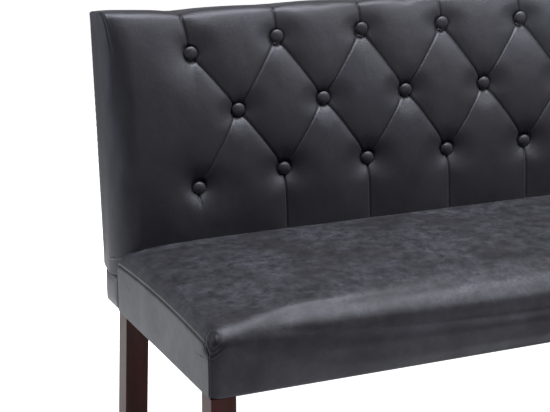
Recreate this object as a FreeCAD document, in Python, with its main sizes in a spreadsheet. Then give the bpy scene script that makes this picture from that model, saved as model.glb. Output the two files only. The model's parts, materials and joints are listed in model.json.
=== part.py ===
"""Upholstered bench with a button-tufted back, built from its separate pieces.

The bench stands on the floor at Z = 0, faces -Y and is centred over the origin.
Lengths are in millimetres. The back leans, so its pieces use a second set of axes:
x along the bench, v from the face of the back frame to the rear, w up the frame.
"""
import FreeCAD, Part
import math
import os
import Sketcher

Vector = FreeCAD.Vector

# Driving sizes: name and value

SIZES = (
    # the whole bench
    ("bench_length", 1460),
    ("seat_depth", 483),
    ("seat_underside", 355),
    # clearances and the overrun of every cut
    ("fit_clearance", 0.1),
    ("bolt_clearance", 0.3),
    ("cover_gap", 0.3),
    ("overrun", 4),
    # legs and glides
    ("leg_width", 45),
    ("leg_inset", 1.5),
    ("leg_edge_radius", 2),
    ("rear_leg_rake", 37),
    ("glide_height", 5),
    ("glide_radius", 11),
    ("glide_chamfer", 1),
    ("glide_pin_radius", 1.5),
    ("glide_pin_length", 14),
    # bolts, washers and tee nuts
    ("bolt_radius", 4),
    ("bolt_in_leg", 40),
    ("bolt_head_radius", 6.5),
    ("bolt_head_height", 5),
    ("washer_radius", 10),
    ("washer_thickness", 1.6),
    ("nut_flange_radius", 10),
    ("nut_flange_thickness", 1.6),
    ("nut_barrel_radius", 5.2),
    ("nut_barrel_length", 11),
    # wooden seat frame
    ("rail_thickness", 24),
    ("rail_height", 70),
    ("post_width", 55),
    ("cross_rail_place", 243),
    ("cross_rail_drop", 10),
    ("dowel_radius", 4),
    ("dowel_bite_share", 0.7),
    ("post_bite_share", 0.4),
    # straps under the seat cushion
    ("strap_width", 60),
    ("strap_thickness", 2),
    ("crosswise_straps", 11),
    ("lengthwise_straps", 3),
    # seat cushion and its cover
    ("cover_thickness", 1.5),
    ("cover_turn_under", 32),
    ("edge_padding", 8),
    ("seat_edge_height", 128),
    ("seat_rear_height", 132),
    ("seat_crown", 137),
    ("seat_end_drop", 25),
    ("seat_crown_run", 120),
    ("seat_front_radius", 30),
    ("seat_rear_radius", 18),
    # cloth under the seat and its staples
    ("dust_cover_thickness", 0.8),
    ("dust_cover_margin", 18),
    ("dust_cover_notch", 1),
    ("staple_length", 12),
    ("staple_width", 1.2),
    ("staple_thickness", 0.8),
    ("staple_inset", 6),
    ("staples_along", 12),
    ("staples_across", 4),
    # wooden back frame
    ("recline_angle", 5.2),
    ("band_height", 60),
    ("back_frame_height", 490),
    ("back_frame_depth", 60),
    ("stile_thickness", 30),
    ("top_rail_height", 24),
    ("bottom_rail_thickness", 24),
    ("back_post_step_share", 1.25),
    ("panel_thickness", 5),
    ("back_bolt_height", 30),
    ("back_bolt_inner_place", 120),
    ("back_bolt_outer_place", 520),
    # back cushion, its cover and the band below it
    ("band_inset", 4),
    ("band_padding", 3.5),
    ("front_padding", 38),
    ("rear_padding", 17.5),
    ("top_padding", 21),
    ("back_end_radius", 35),
    ("back_top_radius", 48),
    ("back_rear_radius", 30),
    ("back_foot_radius", 18),
    ("back_front_foot_radius", 20),
    ("back_least_radius", 2),
    ("rear_seam_setback", 14),
    # tufting
    ("button_columns", 7),
    ("button_margin", 178),
    ("button_low_row", 193),
    ("button_top_margin", 39),
    ("button_end_dip", 25),
    ("button_dip_reach", 100),
    ("button_radius", 12.75),
    ("button_rim", 3),
    ("button_height", 10),
    ("button_sink", 27),
    ("dimple_floor_radius", 14),
    ("dimple_radius", 62),
    ("pleat_depth", 14),
    ("pleat_reach", 66),
    ("pleat_lip", 1.5),
    ("tie_radius", 1),
    ("tie_hole_radius", 2),
    ("anchor_radius", 10),
    ("anchor_thickness", 3),
)

# How high up a rail its two dowels sit, and how far back in a back post
DOWEL_HEIGHT_SHARES = (0.25, 0.7)
# Where along the rise of the seat's ends the crown is measured
CROWN_RUN_SHARES = (0.0, 0.05, 0.2, 0.5, 1.0)
# Where round the end of the back cushion a section is drawn
END_TURN_SHARES = (1.0, 0.75, 0.5, 0.25, 0.0)

SIDES = ("left", "right")
ENDS = ("front", "rear")

doc = FreeCAD.newDocument("upholstered_bench")
sheet = doc.addObject("Spreadsheet::Sheet", "size")
pieces = []


def write_sizes(table, first_row):
    """Put named values in the sheet, one to a row."""
    for row, (name, value) in enumerate(table, start=first_row):
        sheet.set(f"A{row}", name)
        sheet.set(f"B{row}", str(value))
        sheet.setAlias(f"B{row}", name)
    doc.recompute()


def value(text):
    """The number that an expression on the sheet gives."""
    return float(sheet.evalExpression(text))


def size(name):
    """One size from the sheet."""
    return float(sheet.get(name))


def derived_sizes():
    """The lean as sine and cosine, and the front face that centres the bench on Y."""
    lean = math.radians(size("recline_angle"))
    rear_round = size("back_rear_radius")
    depth = size("back_frame_depth") + size("rear_padding") + size("cover_thickness")
    height = size("back_frame_height") + size("top_padding") + size("cover_thickness")
    reach = (depth - rear_round) * math.cos(lean) + (height - rear_round) * math.sin(lean)
    front = -(size("seat_depth") + reach + rear_round) / 2
    return (
        ("recline_cos", math.cos(lean)),
        ("recline_sin", math.sin(lean)),
        ("front_y", front),
    )


write_sizes(SIZES, 1)
write_sizes(derived_sizes(), len(SIZES) + 1)

# Planes that many pieces share, as expressions on the sheet

HALF = "size.bench_length / 2"
FRONT = "size.front_y"
REAR = "(size.front_y + size.seat_depth)"
UNDER = "size.seat_underside"
FRAME_EDGE = "(size.cover_thickness + size.edge_padding)"
FRAME_FRONT = f"({FRONT} + {FRAME_EDGE})"
FRAME_REAR = f"({REAR} - size.cover_thickness)"
FRAME_BASE = f"({UNDER} + size.cover_thickness)"
FRAME_TOP = f"({FRAME_BASE} + size.rail_height)"
STRAP_TOP = f"({FRAME_TOP} + 2 * size.strap_thickness)"
BAND_TOP = f"({UNDER} + size.band_height)"
BACK_EDGE = "(size.band_inset + size.cover_thickness + size.band_padding)"
BACK_FOOT = "((size.seat_crown - size.band_height + size.cover_gap) / size.recline_cos)"
PANEL_FOOT = f"({BACK_FOOT} + size.cover_thickness + size.cover_gap)"
CROWN_FACE = "(-(size.panel_thickness + size.front_padding + size.cover_thickness))"
BUTTON_SEAT = f"({CROWN_FACE} + size.button_sink)"
RAIL_BITE = "(size.rail_thickness * size.dowel_bite_share)"
TOP_RAIL_BITE = "(size.top_rail_height * size.dowel_bite_share)"
POST_BITE = "(size.stile_thickness * size.post_bite_share)"
BUTTON_STEP = "((size.bench_length - 2 * size.button_margin) / (size.button_columns - 1))"
ROW_STEP = "((size.back_frame_height - size.button_top_margin - size.button_low_row) / 2)"
POST_PLACE = f"({BUTTON_STEP} * size.back_post_step_share)"

# Makers of plain solids, with their sizes bound to the sheet


def keep(piece):
    """Count an object among the pieces of the bench."""
    pieces.append(piece)
    return piece


def put(solid, corner):
    """Bind a solid's place to three expressions."""
    for axis, text in zip("xyz", corner):
        solid.setExpression("Placement.Base." + axis, text)
    return solid


def turn(solid, axis, angle):
    """Turn a solid about an axis by an angle that an expression gives."""
    solid.Placement = FreeCAD.Placement(Vector(), FreeCAD.Rotation(axis, value(angle)))
    solid.setExpression("Placement.Rotation.Angle", angle)
    return solid


def box(label, corner, extent):
    """A block from its lowest corner and its three sizes."""
    solid = doc.addObject("Part::Box", label)
    for name, text in zip(("Length", "Width", "Height"), extent):
        solid.setExpression(name, text)
    return put(solid, corner)


# Each direction a rod can take: the axis it is turned about and the angle
DIRECTIONS = {
    "x": (Vector(0, 1, 0), "90"),
    "y": (Vector(-1, 0, 0), "90"),
    "z": (Vector(-1, 0, 0), "0"),
    "v": (Vector(-1, 0, 0), "90 + size.recline_angle"),
    "w": (Vector(-1, 0, 0), "size.recline_angle"),
}


def rod(label, start, radius, length, direction):
    """A round rod from the centre of its first face."""
    solid = doc.addObject("Part::Cylinder", label)
    solid.setExpression("Radius", radius)
    solid.setExpression("Height", length)
    turn(solid, *DIRECTIONS[direction])
    return put(solid, start)


def group(label, solids):
    """Several solids in one object."""
    gathered = doc.addObject("Part::Compound", label)
    gathered.Links = solids
    return gathered


def cut(label, base, tool):
    """One object with another taken away."""
    result = doc.addObject("Part::Cut", label)
    result.Base = base
    result.Tool = tool
    return result


def fuse(label, base, tool):
    """Two objects made one."""
    result = doc.addObject("Part::Fuse", label)
    result.Base = base
    result.Tool = tool
    return result


def outline(body, plane, corners):
    """A closed sketch of straight lines through corners given as expressions."""
    sketch = body.newObject("Sketcher::SketchObject", body.Name + "_outline")
    origin_planes = [part for part in body.Origin.OriginFeatures if part.Role == plane]
    sketch.AttachmentSupport = [(origin_planes[0], "")]
    sketch.MapMode = "FlatFace"
    points = [Vector(value(across), value(up), 0) for across, up in corners]
    count = len(points)
    for index in range(count):
        sketch.addGeometry(Part.LineSegment(points[index], points[(index + 1) % count]))
    for index in range(count):
        sketch.addConstraint(Sketcher.Constraint("Coincident", index, 2, (index + 1) % count, 1))
    for index, (point, texts) in enumerate(zip(points, corners)):
        for kind, start, text in zip(("DistanceX", "DistanceY"), (point.x, point.y), texts):
            number = sketch.addConstraint(Sketcher.Constraint(kind, index, 1, start))
            sketch.setExpression(f"Constraints[{number}]", text)
    return sketch


def prism(label, corners, offset, length):
    """A body padded along X from an outline of (y, z) corners."""
    body = doc.addObject("PartDesign::Body", label)
    sketch = outline(body, "YZ_Plane", corners)
    sketch.setExpression("AttachmentOffset.Base.z", offset)
    pad = body.newObject("PartDesign::Pad", label + "_pad")
    pad.Profile = sketch
    pad.setExpression("Length", length)
    doc.recompute()
    return body


def turned(label, corners):
    """A body revolved about Z from an outline of (radius, z) corners."""
    body = doc.addObject("PartDesign::Body", label)
    sketch = outline(body, "XZ_Plane", corners)
    revolution = body.newObject("PartDesign::Revolution", label + "_turn")
    revolution.Profile = sketch
    revolution.ReferenceAxis = (sketch, ["V_Axis"])
    revolution.Angle = 360
    doc.recompute()
    return body


def round_long_edges(body, radius):
    """Round the edges that run the length of a leg."""
    pad = body.Tip
    least = pad.Shape.BoundBox.ZLength / 2
    names = []
    for index, edge in enumerate(pad.Shape.Edges, start=1):
        if edge.BoundBox.ZLength > least:
            names.append(f"Edge{index}")
    fillet = body.newObject("PartDesign::Fillet", body.Name + "_rounding")
    fillet.Base = (pad, names)
    fillet.setExpression("Radius", radius)
    doc.recompute()


def from_end(side, inward, width):
    """X of a piece's lower corner when its outer face lies inward of that end."""
    if side == "left":
        return f"-{HALF} + {inward}"
    return f"{HALF} - ({inward}) - ({width})"


def mirrored(side, distance):
    """X at a distance from the middle, on one side."""
    return f"-({distance})" if side == "left" else f"({distance})"


def along(point, direction, distance):
    """A point moved by an expression along X, Y or Z."""
    index = "xyz".index(direction)
    return tuple(
        f"{text} + {distance}" if place == index else text for place, text in enumerate(point)
    )


def back_point(v, w):
    """World Y and Z of a point on the leaning axes of the back."""
    y = f"{REAR} + ({v}) * size.recline_cos + ({w}) * size.recline_sin"
    z = f"{BAND_TOP} - ({v}) * size.recline_sin + ({w}) * size.recline_cos"
    return y, z


def lean_back(solid, x, v, w):
    """Give an object the leaning axes of the back, at a place on them."""
    turn(solid, *DIRECTIONS["w"])
    return put(solid, (x, *back_point(v, w)))


def back_box(label, corner, extent):
    """A block square to the leaning axes of the back."""
    solid = box(label, ("0", "0", "0"), extent)
    return lean_back(solid, *corner)


def back_rod(label, start, radius, length, direction):
    """A rod along one of the back's axes, from the centre of its first face."""
    x, v, w = start
    return rod(label, (x, *back_point(v, w)), radius, length, direction)


# Legs, glides and the bolts that hold the legs


def leg_top(side, end):
    """Centre of a leg's top face, as x and y."""
    x = f"{from_end(side, 'size.leg_inset', 'size.leg_width')} + size.leg_width / 2"
    if end == "front":
        return x, f"{FRONT} + size.leg_inset + size.leg_width / 2"
    return x, f"{REAR} - size.leg_inset - size.leg_width / 2"


def leg_foot(side, end):
    """Centre of a leg's foot, as x and y."""
    x, y = leg_top(side, end)
    return (x, y) if end == "front" else (x, f"{y} + size.rear_leg_rake")


def make_leg(side, end):
    """A square leg with its bolt hole and the hole for its glide's pin."""
    name = f"{end}_{side}_leg"
    top_x, top_y = leg_top(side, end)
    foot_x, foot_y = leg_foot(side, end)
    half = "size.leg_width / 2"
    corners = (
        (f"{foot_y} - {half}", "size.glide_height"),
        (f"{foot_y} + {half}", "size.glide_height"),
        (f"{top_y} + {half}", UNDER),
        (f"{top_y} - {half}", UNDER),
    )
    offset = from_end(side, "size.leg_inset", "size.leg_width")
    stick = prism(name + "_stick", corners, offset, "size.leg_width")
    round_long_edges(stick, "size.leg_edge_radius")
    bolt_hole = rod(
        name + "_bolt_hole",
        (top_x, top_y, f"{UNDER} - size.bolt_in_leg - size.bolt_clearance"),
        "size.bolt_radius + size.fit_clearance",
        "size.bolt_in_leg + size.bolt_clearance + size.overrun",
        "z",
    )
    pin_hole = rod(
        name + "_pin_hole",
        (foot_x, foot_y, "size.glide_height - size.overrun"),
        "size.glide_pin_radius + size.fit_clearance",
        "size.glide_pin_length + size.fit_clearance + size.overrun",
        "z",
    )
    keep(cut(name, stick, group(name + "_holes", [bolt_hole, pin_hole])))


def make_glide(side, end):
    """A nail-in glide: a low disc with a pin."""
    corners = (
        ("0", "0"),
        ("size.glide_radius - size.glide_chamfer", "0"),
        ("size.glide_radius", "size.glide_chamfer"),
        ("size.glide_radius", "size.glide_height"),
        ("size.glide_pin_radius", "size.glide_height"),
        ("size.glide_pin_radius", "size.glide_height + size.glide_pin_length"),
        ("0", "size.glide_height + size.glide_pin_length"),
    )
    glide = turned(f"{end}_{side}_glide", corners)
    put(glide, (*leg_foot(side, end), "0"))
    keep(glide)


def tee_nut(label, tip, direction):
    """A flanged nut from the tip of its barrel, with the flange further along."""
    flange_start = along(tip, direction, "size.nut_barrel_length")
    barrel = rod(
        label + "_barrel", tip, "size.nut_barrel_radius", "size.nut_barrel_length", direction
    )
    flange = rod(
        label + "_flange",
        flange_start,
        "size.nut_flange_radius",
        "size.nut_flange_thickness",
        direction,
    )
    bore = rod(
        label + "_bore",
        along(tip, direction, "-size.overrun"),
        "size.bolt_radius + size.fit_clearance",
        "size.nut_barrel_length + size.nut_flange_thickness + 2 * size.overrun",
        direction,
    )
    return cut(label, fuse(label + "_blank", barrel, flange), bore)


def nut_pocket(label, tip, direction):
    """The room that a tee nut takes in the wood, open behind its flange."""
    barrel = rod(
        label + "_barrel",
        along(tip, direction, "-size.fit_clearance"),
        "size.nut_barrel_radius + size.fit_clearance",
        "size.nut_barrel_length + 2 * size.fit_clearance",
        direction,
    )
    flange = rod(
        label + "_flange",
        along(tip, direction, "size.nut_barrel_length"),
        "size.nut_flange_radius + size.fit_clearance",
        "size.nut_flange_thickness + size.overrun",
        direction,
    )
    return fuse(label, barrel, flange)


def make_legs():
    """Four legs with their glides, hanger bolts and tee nuts; returns the bolts' holes."""
    bolts, nuts, holes = [], [], []
    nut_tip_z = f"{FRAME_TOP} - size.nut_flange_thickness - size.nut_barrel_length"
    for end in ENDS:
        for side in SIDES:
            make_leg(side, end)
            make_glide(side, end)
            x, y = leg_top(side, end)
            name = f"{end}_{side}"
            foot = f"{UNDER} - size.bolt_in_leg"
            bolts.append(
                rod(
                    name + "_hanger_bolt",
                    (x, y, foot),
                    "size.bolt_radius",
                    f"{FRAME_TOP} - size.nut_flange_thickness - ({foot})",
                    "z",
                )
            )
            nuts.append(tee_nut(name + "_leg_nut", (x, y, nut_tip_z), "z"))
            bore = rod(
                name + "_leg_bore",
                (x, y, f"{UNDER} - size.overrun"),
                "size.bolt_radius + size.bolt_clearance",
                f"{FRAME_TOP} - {UNDER} + 2 * size.overrun",
                "z",
            )
            holes.append(fuse(name + "_leg_hole", bore, nut_pocket(name, (x, y, nut_tip_z), "z")))
    keep(group("leg_hanger_bolts", bolts))
    keep(group("leg_tee_nuts", nuts))
    return group("leg_bolt_holes", holes)


# Seat frame


def dowel_pair(label, places, radius_gap, end_gap, bite, direction):
    """The dowels of one joint; places are the points where they cross the joint."""
    rods = []
    for number, place in enumerate(places):
        x, y, z = along(place, direction, f"(-{bite} - {end_gap})")
        rods.append(
            rod(
                f"{label}_{number}",
                (x, y, z),
                f"size.dowel_radius + {radius_gap}",
                f"2 * ({bite} + {end_gap})",
                direction,
            )
        )
    return rods


def seat_joints():
    """Every dowelled joint of the seat frame: its name, dowel places, bite and direction."""
    heights = [f"{FRAME_BASE} + size.rail_height * {share}" for share in DOWEL_HEIGHT_SHARES]
    long_y = {
        "front": f"{FRAME_FRONT} + size.rail_thickness / 2",
        "rear": f"{FRAME_REAR} - size.rail_thickness / 2",
    }
    post_y = {
        "front": f"{FRAME_FRONT} + size.post_width",
        "rear": f"{FRAME_REAR} - size.post_width",
    }
    cross_y = {
        "front": f"{FRAME_FRONT} + size.rail_thickness",
        "rear": f"{FRAME_REAR} - size.rail_thickness",
    }
    joints = []
    for side in SIDES:
        post_x = mirrored(side, f"{HALF} - {FRAME_EDGE} - size.post_width")
        rail_x = mirrored(side, f"{HALF} - {FRAME_EDGE} - size.rail_thickness / 2")
        cross_x = mirrored(side, "size.cross_rail_place")
        for end in ENDS:
            name = f"{end}_{side}"
            joints.append((name + "_long", [(post_x, long_y[end], z) for z in heights], "x"))
            joints.append((name + "_side", [(rail_x, post_y[end], z) for z in heights], "y"))
            joints.append((name + "_cross", [(cross_x, cross_y[end], z) for z in heights], "y"))
    return joints


def make_seat_frame(leg_holes, bolt_holes):
    """Corner posts, rails, cross rails and dowels."""
    dowels, holes = [], []
    for name, places, direction in seat_joints():
        dowels += dowel_pair(name + "_dowel", places, "0", "0", RAIL_BITE, direction)
        holes += dowel_pair(
            name + "_dowel_hole",
            places,
            "size.fit_clearance",
            "size.bolt_clearance",
            RAIL_BITE,
            direction,
        )
    keep(group("seat_frame_dowels", dowels))
    dowel_holes = group("seat_dowel_holes", holes)
    post_size = ("size.post_width", "size.post_width", "size.rail_height")
    long_length = f"size.bench_length - 2 * ({FRAME_EDGE} + size.post_width)"
    side_length = f"{FRAME_REAR} - {FRAME_FRONT} - 2 * size.post_width"
    cross_length = f"{FRAME_REAR} - {FRAME_FRONT} - 2 * size.rail_thickness"
    post_y = {"front": FRAME_FRONT, "rear": f"{FRAME_REAR} - size.post_width"}
    rail_y = {"front": FRAME_FRONT, "rear": f"{FRAME_REAR} - size.rail_thickness"}
    for end in ENDS:
        for side in SIDES:
            name = f"seat_{end}_{side}_post"
            x = from_end(side, FRAME_EDGE, "size.post_width")
            block = box(name + "_block", (x, post_y[end], FRAME_BASE), post_size)
            drilled = cut(name + "_drilled", block, leg_holes)
            keep(cut(name, drilled, dowel_holes))
        name = f"seat_{end}_rail"
        x = from_end("left", f"{FRAME_EDGE} + size.post_width", long_length)
        extent = (long_length, "size.rail_thickness", "size.rail_height")
        bar = box(name + "_bar", (x, rail_y[end], FRAME_BASE), extent)
        if end == "rear":
            bar = cut(name + "_bored", bar, bolt_holes)
        keep(cut(name, bar, dowel_holes))
    for side in SIDES:
        name = f"seat_{side}_rail"
        x = from_end(side, FRAME_EDGE, "size.rail_thickness")
        extent = ("size.rail_thickness", side_length, "size.rail_height")
        bar = box(name + "_bar", (x, f"{FRAME_FRONT} + size.post_width", FRAME_BASE), extent)
        keep(cut(name, bar, dowel_holes))
        name = f"seat_{side}_cross_rail"
        x = f"{mirrored(side, 'size.cross_rail_place')} - size.rail_thickness / 2"
        cross_height = "size.rail_height - size.cross_rail_drop"
        extent = ("size.rail_thickness", cross_length, cross_height)
        bar = box(name + "_bar", (x, f"{FRAME_FRONT} + size.rail_thickness", FRAME_BASE), extent)
        keep(cut(name, bar, dowel_holes))


def make_straps():
    """Straps from front to rear, with lengthwise ones over them."""
    inner_length = f"(size.bench_length - 2 * ({FRAME_EDGE} + size.post_width))"
    straps = []
    for index in range(int(size("crosswise_straps"))):
        share = f"(({index} + 0.5) / size.crosswise_straps - 0.5)"
        corner = (f"{inner_length} * {share} - size.strap_width / 2", FRAME_FRONT, FRAME_TOP)
        extent = ("size.strap_width", f"{FRAME_REAR} - {FRAME_FRONT}", "size.strap_thickness")
        straps.append(box(f"crosswise_strap_{index}", corner, extent))
    keep(group("seat_crosswise_webbing", straps))
    straps = []
    frame_length = f"size.bench_length - 2 * {FRAME_EDGE}"
    for index in range(int(size("lengthwise_straps"))):
        share = f"({index} + 0.5) / size.lengthwise_straps"
        y = f"{FRAME_FRONT} + ({FRAME_REAR} - {FRAME_FRONT}) * {share} - size.strap_width / 2"
        corner = (from_end("left", FRAME_EDGE, frame_length), y, f"{FRAME_TOP} + size.strap_thickness")
        extent = (frame_length, "size.strap_width", "size.strap_thickness")
        straps.append(box(f"lengthwise_strap_{index}", corner, extent))
    keep(group("seat_lengthwise_webbing", straps))


def make_dust_cover():
    """The cloth under the seat, notched round the legs, and its staples."""
    margin = "size.dust_cover_margin"
    base = f"{UNDER} - size.dust_cover_thickness"
    extent = (
        f"size.bench_length - 2 * {margin}",
        f"size.seat_depth - 2 * {margin}",
        "size.dust_cover_thickness",
    )
    sheet_corner = (f"-{HALF} + {margin}", f"{FRONT} + {margin}", base)
    cloth = box("dust_cover_cloth", sheet_corner, extent)
    notch_width = "size.leg_width + 2 * size.dust_cover_notch"
    notch_size = (notch_width, notch_width, "size.dust_cover_thickness + 2 * size.overrun")
    notches = []
    for end in ENDS:
        for side in SIDES:
            x, y = leg_top(side, end)
            corner = (f"{x} - ({notch_width}) / 2", f"{y} - ({notch_width}) / 2", f"{base} - size.overrun")
            notches.append(box(f"{end}_{side}_notch", corner, notch_size))
    keep(cut("seat_dust_cover", cloth, group("dust_cover_notches", notches)))
    make_staples(f"{base} - size.staple_thickness")


def make_staples(z):
    """Staple crowns round the edge of the cloth."""
    inset = "(size.dust_cover_margin + size.staple_inset)"
    clear = "(size.leg_inset + size.leg_width + size.dust_cover_notch)"
    staples = []
    for end in ENDS:
        y = f"{FRONT} + {inset}" if end == "front" else f"{REAR} - {inset} - size.staple_width"
        for index in range(int(size("staples_along"))):
            share = f"(({index} + 0.5) / size.staples_along - 0.5)"
            x = f"(size.bench_length - 2 * {clear}) * {share} - size.staple_length / 2"
            extent = ("size.staple_length", "size.staple_width", "size.staple_thickness")
            staples.append(box(f"{end}_staple_{index}", (x, y, z), extent))
    for side in SIDES:
        x = from_end(side, inset, "size.staple_width")
        for index in range(int(size("staples_across"))):
            share = f"({index} + 0.5) / size.staples_across"
            y = f"{FRONT} + {clear} + (size.seat_depth - 2 * {clear}) * {share} - size.staple_length / 2"
            extent = ("size.staple_width", "size.staple_length", "size.staple_thickness")
            staples.append(box(f"{side}_staple_{index}", (x, y, z), extent))
    keep(group("dust_cover_staples", staples))


# Seat cushion and its covers, drawn as sections across the bench


def crown_stations(start):
    """Distance from the bench's end and share of the crown's rise, from a start inward."""
    run = size("seat_crown_run")
    return [(start + run * share, math.sqrt(1 - (1 - share) ** 2)) for share in CROWN_RUN_SHARES]


def seat_section(x, rise, inset, floor):
    """Outline across the seat: front roll, crown and rear edge, drawn in by an inset."""
    front = size("front_y")
    rear = front + size("seat_depth")
    under = size("seat_underside")
    drop = size("seat_end_drop") * (1 - rise)
    front_round = size("seat_front_radius")
    rear_round = size("seat_rear_radius")
    edge = under + size("seat_edge_height") - drop
    back_edge = under + size("seat_rear_height") - drop
    crown = under + size("seat_crown") - drop - inset
    slant = math.sqrt(0.5)

    def point(y, z):
        return Vector(x, y, z)

    roll = front_round - inset
    roll_y, roll_z = front + front_round, edge - front_round
    turn_radius = rear_round - inset
    turn_y, turn_z = rear - rear_round, back_edge - rear_round
    front_top = point(roll_y, roll_z + roll)
    rear_top = point(turn_y, turn_z + turn_radius)
    front_low = point(front + inset, under + floor)
    rear_low = point(rear - inset, under + floor)
    front_flat = point(front + inset, roll_z)
    rear_flat = point(rear - inset, turn_z)
    roll_middle = point(roll_y - roll * slant, roll_z + roll * slant)
    turn_middle = point(turn_y + turn_radius * slant, turn_z + turn_radius * slant)
    edges = [
        Part.LineSegment(front_low, front_flat),
        Part.Arc(front_flat, roll_middle, front_top),
        Part.Arc(front_top, point((roll_y + turn_y) / 2, crown), rear_top),
        Part.Arc(rear_top, turn_middle, rear_flat),
        Part.LineSegment(rear_flat, rear_low),
        Part.LineSegment(rear_low, front_low),
    ]
    return Part.Wire([edge.toShape() for edge in edges])


def seat_form(end_gap, inset, floor, overrun):
    """The seat's shape between its ends, which lie end_gap in from the bench's ends."""
    half = size("bench_length") / 2
    stations = crown_stations(size("cover_thickness"))
    first = [(end_gap - overrun, 0.0)]
    inward = first + [(distance, rise) for distance, rise in stations if distance > end_gap]
    left = [seat_section(distance - half, rise, inset, floor) for distance, rise in inward]
    right = [seat_section(half - distance, rise, inset, floor) for distance, rise in reversed(inward)]
    return Part.makeLoft(left + right, True, True)


def shaped(label, shape):
    """An object that holds a shape built from sections."""
    feature = doc.addObject("Part::Feature", label)
    feature.Shape = shape
    return feature


def make_seat_cushion(leg_holes, bolt_holes):
    """The foam, and the cover in three panels that turn under the frame."""
    length = size("bench_length")
    depth = size("seat_depth")
    front = size("front_y")
    under = size("seat_underside")
    thickness = size("cover_thickness")
    overrun = size("overrun")
    fold = size("cover_turn_under")
    gap = thickness + size("cover_gap")
    outer = seat_form(thickness, 0, 0, 0)
    inner = seat_form(thickness, thickness, thickness, overrun)
    window = Part.makeBox(
        length,
        depth - 2 * fold,
        thickness + 2 * overrun,
        Vector(-length / 2, front + fold, under - overrun),
    )
    shell = shaped("seat_top_cover_shell", outer.cut(inner).cut(window))
    holed = cut("seat_top_cover_holed", shell, leg_holes)
    keep(cut("seat_top_cover", holed, bolt_holes))
    for side, sign in zip(SIDES, (-1, 1)):
        outside = seat_section(sign * length / 2, 0, 0, 0)
        panel = Part.Face(outside).extrude(Vector(-sign * thickness, 0, 0))
        flap = Part.makeBox(fold - thickness, depth - 2 * fold, thickness)
        near = thickness - length / 2 if side == "left" else length / 2 - fold
        flap.translate(Vector(near, front + fold, under))
        keep(shaped(f"seat_{side}_cover", panel.fuse(flap).removeSplitter()))
    pad = seat_form(gap, gap, thickness, 0)
    edge = value(FRAME_EDGE)
    frame_room = Part.makeBox(
        length - 2 * edge,
        value(FRAME_REAR) - value(FRAME_FRONT) + overrun,
        value(STRAP_TOP) - under,
        Vector(edge - length / 2, value(FRAME_FRONT), under),
    )
    keep(shaped("seat_foam", pad.cut(frame_room)))


# Back frame


def stile_corners(height):
    """Side outline of a stile or post: upright through the band, then leaning back."""
    depth = "size.back_frame_depth"
    return (
        (REAR, FRAME_BASE),
        (REAR, BAND_TOP),
        back_point("0", height),
        back_point(depth, height),
        back_point(depth, "0"),
        (f"{REAR} + {depth} * size.recline_cos", FRAME_BASE),
    )


def back_joint_rods(label, radius_gap, end_gap):
    """Dowels of the back frame, or their holes."""
    radius = f"size.dowel_radius + {radius_gap}"
    long_bite = f"({POST_BITE} + {end_gap})"
    high_bite = f"({TOP_RAIL_BITE} + {end_gap})"
    depths = [f"size.back_frame_depth * {share}" for share in DOWEL_HEIGHT_SHARES]
    heights = [f"{FRAME_BASE} + size.band_height * {share}" for share in DOWEL_HEIGHT_SHARES]
    low_y = f"{REAR} + size.bottom_rail_thickness / 2"
    top_w = "size.back_frame_height - size.top_rail_height / 2"
    joint_w = "size.back_frame_height - size.top_rail_height"
    stile_x = f"{HALF} - {BACK_EDGE} - size.stile_thickness"
    low_places = (
        stile_x,
        f"{POST_PLACE} + size.stile_thickness / 2",
        f"{POST_PLACE} - size.stile_thickness / 2",
    )
    rods = []
    for side in SIDES:
        for number, depth in enumerate(depths):
            name = f"{side}_{label}_{number}"
            x = f"{mirrored(side, stile_x)} - {long_bite}"
            rods.append(back_rod(name + "_top", (x, depth, top_w), radius, f"2 * {long_bite}", "x"))
            x = mirrored(side, POST_PLACE)
            start = (x, depth, f"{joint_w} - {high_bite}")
            rods.append(back_rod(name + "_post", start, radius, f"2 * {high_bite}", "w"))
        for place_number, place in enumerate(low_places):
            for number, z in enumerate(heights):
                name = f"{side}_{label}_low_{place_number}_{number}"
                x = f"{mirrored(side, place)} - {long_bite}"
                rods.append(rod(name, (x, low_y, z), radius, f"2 * {long_bite}", "x"))
    return rods


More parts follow.
